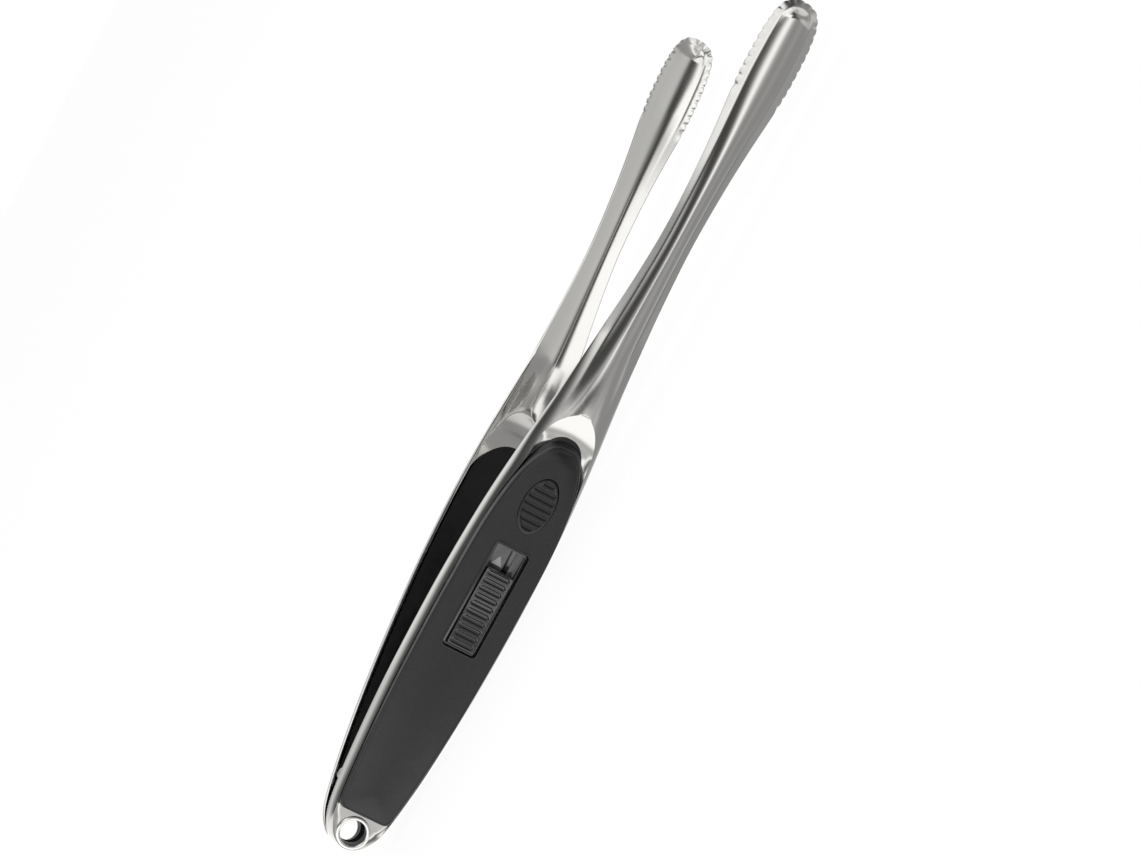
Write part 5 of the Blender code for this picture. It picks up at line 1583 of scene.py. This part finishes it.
def make_hinge():
    """The pin, its push nut, the washers, the sleeve and the spring."""
    near_ear, washer, far_ear = ear_middles()
    ear_face = far_ear + EAR_THICKNESS / 2
    bore_radius = PIN_RADIUS + GAP
    head_top = -(ear_face + GAP)
    end = ear_face + GAP + PIN_HEAD_THICKNESS + PIN_OVERHANG
    rim = PIN_HEAD_THICKNESS * PIN_EDGE_SHARE
    head_edge = head_top - rim * HEAD_EDGE_SHARE
    dome = PIN_HEAD_THICKNESS - rim * HEAD_EDGE_SHARE
    profile = [
        (0.0, end), (PIN_RADIUS - rim, end), (PIN_RADIUS, end - rim), (PIN_RADIUS, head_top),
        (PIN_HEAD_RADIUS - rim / 2, head_top), (PIN_HEAD_RADIUS, head_edge),
    ]
    for i in range(1, PIN_DOME_STEPS + 1):
        angle = math.pi / 2 * i / PIN_DOME_STEPS
        radius = PIN_HEAD_RADIUS * math.cos(angle * ROUNDING_SHARE) if i < PIN_DOME_STEPS else 0.0
        profile.append((radius, head_edge - dome * math.sin(angle)))
    dress(hinge_lathe("domed_hinge_pin", profile), ZINC, "far_side", "hinge_pin")
    nut_middle = ear_face + GAP + PIN_HEAD_THICKNESS / 2
    profile = ring_profile(bore_radius, PIN_HEAD_RADIUS, nut_middle, PIN_HEAD_THICKNESS, NUT_EDGE)
    nut = hinge_lathe("toothed_push_nut", profile)
    notch = rectangle((PIN_RADIUS, -NOTCH_HALF_WIDTH), (bore_radius + NOTCH_DEPTH, NOTCH_HALF_WIDTH))
    for i in range(NUT_NOTCHES):
        turned = Matrix.Rotation(2 * math.pi / NUT_NOTCHES * i, 3, "Z")
        box = [turned @ Vector((x, y, 0.0)) for x, y in notch]
        rows = []
        for z in (-CUT_OVERRUN, CUT_OVERRUN):
            rows.append([hinge_place(p.x, p.y, nut_middle + z) for p in box])
        shape_with(nut, skin("notch", rows, ends=True), "DIFFERENCE")
    dress(nut, WIRE, "far_side", "pin_push_nut")
    for label, sign in (("lower", -1), ("upper", 1)):
        profile = ring_profile(bore_radius, WASHER_RADIUS, sign * washer, WASHER_THICKNESS, WASHER_EDGE)
        ring = hinge_lathe(label + "_nylon_washer", profile)
        dress(ring, NYLON, "far_side", label + "_hinge_washer")
    sleeve_length = 2 * (near_ear - EAR_THICKNESS / 2 - GAP)
    profile = ring_profile(bore_radius, bore_radius + SLEEVE_WALL, 0.0, sleeve_length, WASHER_EDGE)
    dress(hinge_lathe("nylon_spring_sleeve", profile), NYLON, "far_side", "spring_sleeve")
    make_spring(sleeve_length - 2 * GAP)


def make_spring(room):
    """The coil round the sleeve in this much room, with a straight leg along each liner."""
    mean_radius = PIN_RADIUS + GAP + SLEEVE_WALL + GAP + SPRING_WIRE / 2
    leg_end = PIVOT_DROP + LINER_FACE - GAP - SPRING_WIRE / 2
    lean = OPEN_HALF_ANGLE + math.asin((leg_end - mean_radius) / SPRING_LEG)
    lost = 0.5 + lean / math.pi
    turns = math.floor((room - SPRING_WIRE) / SPRING_PITCH + lost) - lost
    start = -math.pi / 2 - lean
    end = start - 2 * math.pi * turns
    count = round(turns * SPRING_STEPS)
    coil = []
    for i in range(count + 1):
        angle = start + (end - start) * i / count
        height = turns * SPRING_PITCH * (i / count - 0.5)
        coil.append(hinge_place(mean_radius * math.cos(angle), mean_radius * math.sin(angle), height))
    near_way = Vector((math.cos(lean), -math.sin(lean), 0.0)) * SPRING_LEG
    far_way = Vector((math.cos(lean), math.sin(lean), 0.0)) * SPRING_LEG
    near_leg = [coil[0] + near_way * share for share in reversed(SPRING_LEG_SHARES)]
    far_leg = [coil[-1] + far_way * share for share in SPRING_LEG_SHARES]
    spring = tube("coiled_torsion_spring", near_leg + coil + far_leg, SPRING_WIRE / 2, SPRING_SIDES)
    dress(spring, WIRE, None, "torsion_spring")
    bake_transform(spring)


# Lock


def make_track():
    """The framed well that the slider runs in, with the slot for its hook and the lock's arrow."""
    base = FLOOR_HEIGHT + GAP
    well_floor = base + TRACK_FLOOR
    frame_loop = window_loop(-GAP, WINDOW_CORNER - GAP)
    track = plate("framed_slide_track", NEAR, "h", [frame_loop], base, TRACK_TOP)
    wall = GAP + TRACK_WALL
    well_loop = window_loop(-wall, WELL_CORNER, WELL_CORNER_STEPS)
    shape_with(track, plate("well", NEAR, "h", [well_loop], well_floor, 2 * TRACK_TOP), "DIFFERENCE")
    shape_with(track, hook_slot(FLOOR_HEIGHT - CUT_OVERRUN, TRACK_TOP), "DIFFERENCE")
    half = HOOK_THICKNESS / 2 + GAP
    end = WINDOW_START + WINDOW_LENGTH - wall - GAP
    loop = rectangle((HOOK_END, HOOK_OFFSET - half), (end, HOOK_OFFSET + half))
    groove = plate("groove", NEAR, "h", [loop], well_floor - TRACK_GROOVE, TRACK_TOP)
    shape_with(track, groove, "DIFFERENCE")
    round_edges(track, TRACK_EDGE, 2)
    dress(track, GLOSS, "near_side", "slide_track")
    tip = SLIDER_START + SLIDER_LENGTH + ARROW_AHEAD
    loop = [(tip, ARROW_OFFSET)]
    for offset in (ARROW_HALF_WIDTH, -ARROW_HALF_WIDTH):
        loop.append((tip - ARROW_LENGTH, ARROW_OFFSET + offset))
    arrow = plate("lock_arrow", NEAR, "h", [loop], well_floor - ARROW_SINK, well_floor + ARROW_PROUD)
    dress(arrow, ARROW, "near_side")


def make_slider():
    """The slider: a dished pad with cross grooves and a rounded edge, hollow below for the hook."""
    half = WINDOW_WIDTH / 2 - 2 * GAP - TRACK_WALL
    top = SLIDER_LOW + SLIDER_BASE
    pitch = SLIDER_LENGTH / RIB_COUNT
    half_groove = pitch * RIB_GROOVE_SHARE
    centres = [SLIDER_START + pitch * (i + 0.5) for i in range(RIB_COUNT)]
    spans = [half - RIB_MARGIN] * RIB_COUNT

    def height(u, w):
        share = 2.0 * (u - SLIDER_START) / SLIDER_LENGTH - 1.0
        dish = top - SLIDER_DISH * (1.0 - share**2) + RIB_HEIGHT
        groove = RIB_HEIGHT * RIB_GROOVE_DEPTH_SHARE * groove_depth(u, w, centres, spans, half_groove)
        edge = min(u - SLIDER_START, SLIDER_START + SLIDER_LENGTH - u, half - abs(w))
        corner = max(0.0, 1.0 - edge / SLIDER_EDGE)
        return dish - groove - SLIDER_EDGE * (1.0 - math.sqrt(1.0 - corner**2 * ROUNDING_SHARE))

    columns, lines = SLIDER_GRID
    spots = []
    for i in range(columns + 1):
        u = SLIDER_START + SLIDER_LENGTH * i / columns
        ws = [half * (2.0 * j / lines - 1.0) for j in range(lines + 1)]
        spots.append([(u, height(u, w), w) for w in ws])
    slider = closed_pad("grooved_lock_slider", NEAR, spots, SLIDER_LOW, FORMED_CREASE)
    middle = SLIDER_START + SLIDER_LENGTH / 2
    leaf_half = DETENT_WIDTH / 2 + GAP
    leaf_reach = DETENT_LENGTH / 2 + GAP
    head_half = HOOK_THICKNESS / 2 + GAP
    head = rectangle(
        (HOOK_START - HOOK_HEAD - GAP, HOOK_OFFSET - head_half),
        (HOOK_START + HOOK_STEM + HOOK_HEAD + GAP, HOOK_OFFSET + head_half),
    )
    leaf = rectangle(
        (middle - leaf_reach, DETENT_OFFSET - leaf_half),
        (middle + leaf_reach, DETENT_OFFSET + leaf_half),
    )
    for loop, high in (
        (head, SLIDER_LOW + HOOK_HEAD_THICKNESS + 3 * GAP),
        (leaf, SLIDER_LOW + DETENT_RISE + DETENT_SHEET + GAP),
    ):
        pocket = plate("pocket", NEAR, "h", [loop], SLIDER_LOW - CUT_OVERRUN, high)
        shape_with(slider, pocket, "DIFFERENCE")
    dress(slider, GLOSS, "slide_lock", "lock_slider")


def make_hook():
    """The flat hook under the slider and the clip that holds it on."""
    back = HOOK_START
    front = back + HOOK_STEM
    head_low = SLIDER_LOW + GAP
    head_high = head_low + HOOK_HEAD_THICKNESS
    foot = -HOOK_REACH
    outline = [
        (back - HOOK_HEAD, head_low), (back, head_low), (back, foot), (front + HOOK_TOE, foot),
        (front + HOOK_TOE, foot + HOOK_TOE_THICKNESS), (front, foot + HOOK_TOE_THICKNESS),
        (front, head_low), (front + HOOK_HEAD, head_low), (front + HOOK_HEAD, head_high),
        (back - HOOK_HEAD, head_high),
    ]
    half = HOOK_THICKNESS / 2
    hook = plate("flat_lock_hook", NEAR, "w", [outline], HOOK_OFFSET - half, HOOK_OFFSET + half)
    round_edges(hook, HOOK_EDGE, 3)
    dress(hook, ZINC, "slide_lock", "lock_hook")
    clip_low = CAVITY_LOW + (CAVITY_HIGH - CAVITY_LOW - CLIP_THICKNESS) / 2
    outer = rounded_rectangle(
        (back - CLIP_MARGIN, HOOK_OFFSET - half - CLIP_MARGIN),
        (front + CLIP_MARGIN, HOOK_OFFSET + half + CLIP_MARGIN), CLIP_CORNER, CLIP_CORNER_STEPS,
    )
    hole = rectangle((back - GAP, HOOK_OFFSET - half - GAP), (front + GAP, HOOK_OFFSET + half + GAP))
    loops = [outer, list(reversed(hole))]
    clip = plate("stem_clip", NEAR, "h", loops, clip_low, clip_low + CLIP_THICKNESS)
    round_edges(clip, CLIP_EDGE, 2)
    dress(clip, ZINC, "slide_lock", "hook_clip")


def make_keeper():
    """The bent bridge that the hook's toe slides under when the tongs are shut."""
    lean = closing_lean()
    rims_apart = 2 * (PIVOT_DROP * math.cos(lean) - (KEEPER_U - PIVOT_U) * math.sin(lean))
    bar_low = -(rims_apart - HOOK_REACH + HOOK_TOE_THICKNESS + KEEPER_CLEARANCE + KEEPER_BAR)
    bar_high = bar_low + KEEPER_BAR
    half = KEEPER_WIDTH / 2
    foot_low = CAVITY_LOW + GAP
    foot_high = foot_low + CLIP_THICKNESS
    bend = KEEPER_BAR * KEEPER_BEND_SHARE
    right = []
    for i in range(KEEPER_BEND_STEPS + 1):
        angle = math.pi / 2 * i / KEEPER_BEND_STEPS
        right.append((half - bend + bend * math.sin(angle), bar_low + bend - bend * math.cos(angle)))
    right += [
        (half, foot_low), (half + KEEPER_FOOT, foot_low), (half + KEEPER_FOOT, foot_high),
        (half - KEEPER_BAR, foot_high), (half - KEEPER_BAR, bar_high + KEEPER_CORNER_CUT),
        (half - KEEPER_BAR - KEEPER_CORNER_CUT, bar_high),
    ]
    left = [(-w, h) for w, h in reversed(right)]
    outline = [(w + HOOK_OFFSET, h) for w, h in right + left]
    low, high = KEEPER_U - KEEPER_LENGTH / 2, KEEPER_U + KEEPER_LENGTH / 2
    keeper = plate("bent_lock_keeper", FAR, "u", [outline], low, high)
    round_edges(keeper, KEEPER_EDGE, 2)
    dress(keeper, ZINC, "far_side", "lock_keeper")


for side in (NEAR, FAR):
    make_arm(side)
    make_grip(side)
    make_thumb_rest(side)
    make_eyelet(side)
    make_liner(side)
    make_bracket(side)
    for number, screw_u in enumerate(SCREW_US, 1):
        make_screw(side, number, screw_u)
make_hinge()
make_track()
make_slider()
make_hook()
make_keeper()

# The detent leaf is hidden in the slider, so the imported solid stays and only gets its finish
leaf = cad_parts["detent_spring"]
leaf.data.materials.clear()
leaf.data.materials.append(WIRE)


# Camera


CAMERA_PLACE = Vector((-0.106286, -0.974971, 0.267585))
RIGHT = Vector((0.441812575, -0.275402124, -0.853788802))
DOWN = Vector((-0.890512313, -0.019446127, -0.454543363))
FORWARD = Vector((0.108579322, 0.961132415, -0.253840525))

lens = bpy.data.cameras.new("camera")
lens.sensor_width = 36.0
lens.lens = 85.263
lens.clip_start = 0.01
camera = new_object("camera", lens)
turn = Matrix((RIGHT, -DOWN, -FORWARD)).transposed()
camera.matrix_world = Matrix.Translation(CAMERA_PLACE) @ turn.to_4x4()
bpy.context.scene.camera = camera


# Floor, room and lamps


FLOOR_SIZE = 6.0
FLOOR_DROP = 0.0002
FLOOR_WHITE_SHARE = 0.93


def make_floor():
    """A pale sweep that renders white to the camera and keeps a soft shadow."""
    bm = bmesh.new()
    bmesh.ops.create_grid(bm, x_segments=1, y_segments=1, size=FLOOR_SIZE)
    mesh = bpy.data.meshes.new("floor")
    bm.to_mesh(mesh)
    bm.free()
    floor = new_object("floor", mesh)
    floor.location = (0.0, 0.0, -FLOOR_DROP)
    floor.visible_glossy = False
    made = bpy.data.materials.new("matt_white_sweep")
    made.use_nodes = True
    tree = made.node_tree
    paper = tree.nodes["Principled BSDF"]
    paper.inputs["Base Color"].default_value = linear("#F4F4F4")
    paper.inputs["Roughness"].default_value = 0.9
    seen = add_node(tree, "ShaderNodeLightPath")
    glow = add_node(tree, "ShaderNodeEmission", {"Color": (1.0, 1.0, 1.0, 1.0), "Strength": 1.0})
    share = add_node(
        tree, "ShaderNodeMath",
        {0: seen.outputs["Is Camera Ray"], 1: FLOOR_WHITE_SHARE}, operation="MULTIPLY",
    )
    mixed = add_node(
        tree, "ShaderNodeMixShader",
        {0: share.outputs["Value"], 1: paper.outputs["BSDF"], 2: glow.outputs["Emission"]},
    )
    tree.links.new(mixed.outputs["Shader"], tree.nodes["Material Output"].inputs["Surface"])
    mesh.materials.append(made)


# Brightness of the room round the tongs, as shares of SOFTBOX. Each ring runs round the length of the
# tongs, as (turn in degrees from the front over the top, share), and holds between two places along it,
# given as the x part of the direction. Its bright bows are softboxes and its dark ones flags.
SOFTBOX = 1.7
ROOM = (
    (-1.0, -0.60, (
        (-180, 0.85), (-95, 0.80), (-60, 0.86), (60, 0.86), (100, 0.60), (180, 0.85),
    )),
    (-0.46, -0.355, (
        (-180, 0.85), (-30, 0.85), (-22, 0.33), (-8, 0.33), (0, 0.85), (70, 0.80), (92, 0.08),
        (105, 0.06), (120, 0.25), (135, 0.50), (180, 0.80),
    )),
    (-0.33, -0.28, (
        (-180, 0.80), (-140, 0.75), (-64, 0.85), (-50, 0.60), (-34, 0.60), (-26, 0.85),
        (-4, 0.85), (12, 0.30), (20, 0.40), (28, 0.80), (60, 0.80), (78, 0.20), (92, 0.05),
        (108, 0.05), (122, 0.25), (134, 0.47), (152, 0.42), (180, 0.60),
    )),
    (-0.24, -0.16, (
        (-180, 0.80), (-110, 0.80), (-64, 0.85), (-58, 0.60), (-50, 0.31), (-34, 0.31),
        (-20, 0.22), (0, 0.10), (15, 0.07), (70, 0.06), (108, 0.05), (122, 0.25), (134, 0.47),
        (152, 0.42), (168, 0.25), (180, 0.40),
    )),
    (-0.10, -0.07, (
        (-180, 0.85), (-112, 0.70), (-95, 0.35), (-60, 0.27), (-30, 0.25), (-19, 0.22),
        (-9, 0.25), (1, 0.33), (12, 0.50), (24, 0.78), (34, 0.72), (40, 0.50), (46, 0.20),
        (52, 0.09), (75, 0.07), (112, 0.05), (122, 0.25), (134, 0.47), (152, 0.42), (168, 0.25),
        (180, 0.40),
    )),
    (-0.02, 0.26, (
        (-180, 0.25), (-168, 0.75), (-155, 0.80), (-142, 0.55), (-133, 0.34), (-120, 0.255),
        (-105, 0.21), (-75, 0.205), (-60, 0.215), (-46, 0.25), (-36, 0.225), (-19, 0.20),
        (-9, 0.31), (1, 0.47), (12, 0.67), (24, 0.80), (38, 0.74), (50, 0.54), (62, 0.28),
        (75, 0.11), (88, 0.055), (112, 0.04), (120, 0.10), (129, 0.37), (139, 0.56),
        (150, 0.62), (160, 0.45), (171, 0.24), (180, 0.25),
    )),
    (0.32, 0.46, (
        (-180, 0.80), (-150, 0.40), (-125, 0.33), (-95, 0.36), (-70, 0.385), (-50, 0.43),
        (-38, 0.40), (-28, 0.27), (-20, 0.14), (-12, 0.075), (-4, 0.045), (18, 0.045),
        (26, 0.08), (32, 0.20), (36, 0.60), (39, 0.86), (78, 0.86), (96, 0.62), (112, 0.62),
        (125, 0.84), (180, 0.82),
    )),
    (0.58, 0.78, (
        (-180, 0.60), (-110, 0.30), (-85, 0.22), (-20, 0.22), (4, 0.10), (14, 0.05), (48, 0.05),
        (62, 0.50), (90, 0.85), (180, 0.60),
    )),
    (0.88, 1.0, (
        (-180, 0.57), (-28, 0.50), (-5, 0.30), (48, 0.35), (62, 0.57), (180, 0.57),
    )),
)


def room_ring(tree, turn_share, stops):
    """One ring of the room as a colour ramp read by the share of a turn."""
    ramp = add_node(tree, "ShaderNodeValToRGB", {"Fac": turn_share})
    elements = ramp.color_ramp.elements
    while len(elements) < len(stops):
        elements.new(0.5)
    for element, (degrees, _) in zip(elements, stops):
        element.position = (degrees + 180) / 360
    for element, (_, level) in zip(elements, stops):
        element.color = (level, level, level, 1.0)
    return ramp.outputs["Color"]


def make_room():
    """The rings, blended along the tongs, for what lights and mirrors; plain white for the camera."""
    world = bpy.data.worlds.new("studio")
    bpy.context.scene.world = world
    world.use_nodes = True
    tree = world.node_tree
    tree.nodes.clear()
    where = add_node(tree, "ShaderNodeTexCoord").outputs["Generated"]
    axes = add_node(tree, "ShaderNodeSeparateXYZ", {"Vector": where})
    front = add_node(tree, "ShaderNodeMath", {0: axes.outputs["Y"], 1: -1.0}, operation="MULTIPLY")
    angle = add_node(
        tree, "ShaderNodeMath", {0: axes.outputs["Z"], 1: front.outputs["Value"]}, operation="ARCTAN2",
    )
    turn_share = add_node(
        tree, "ShaderNodeMapRange",
        {"Value": angle.outputs["Value"], "From Min": -math.pi, "From Max": math.pi},
    ).outputs["Result"]
    room = room_ring(tree, turn_share, ROOM[0][2])
    for (_, before, _), (after, _, stops) in zip(ROOM, ROOM[1:]):
        along = add_node(
            tree, "ShaderNodeMapRange",
            {"Value": axes.outputs["X"], "From Min": before, "From Max": after},
            interpolation_type="SMOOTHSTEP",
        ).outputs["Result"]
        ring = room_ring(tree, turn_share, stops)
        room = add_node(
            tree, "ShaderNodeMix", {"Factor": along, "A": room, "B": ring}, data_type="RGBA",
        ).outputs["Result"]
    lit = add_node(tree, "ShaderNodeBackground", {"Color": room, "Strength": SOFTBOX})
    white = add_node(tree, "ShaderNodeBackground", {"Color": (1.0, 1.0, 1.0, 1.0), "Strength": 1.0})
    seen = add_node(tree, "ShaderNodeLightPath")
    plain = add_node(
        tree, "ShaderNodeMath",
        {0: seen.outputs["Is Camera Ray"], 1: seen.outputs["Is Transmission Ray"]}, operation="MAXIMUM",
    )
    mixed = add_node(
        tree, "ShaderNodeMixShader",
        {0: plain.outputs["Value"], 1: lit.outputs["Background"], 2: white.outputs["Background"]},
    )
    output = add_node(tree, "ShaderNodeOutputWorld")
    tree.links.new(mixed.outputs["Shader"], output.inputs["Surface"])


def make_lamp(name, place, size, power):
    """A soft square lamp aimed at the tongs, which lights them but is not mirrored in the steel."""
    lamp = bpy.data.lights.new(name, "AREA")
    lamp.size = size
    lamp.energy = power
    holder = new_object(name, lamp)
    holder.location = place
    aim = -Vector(place)
    holder.rotation_euler = aim.to_track_quat("-Z", "Y").to_euler()
    holder.visible_glossy = False


make_floor()
make_room()
make_lamp("front_lamp", (-0.3, -1.6, 1.5), 1.2, 16.0)
make_lamp("back_lamp", (0.5, 1.4, 1.8), 1.2, 10.0)

bpy.context.scene.view_settings.view_transform = "Standard"
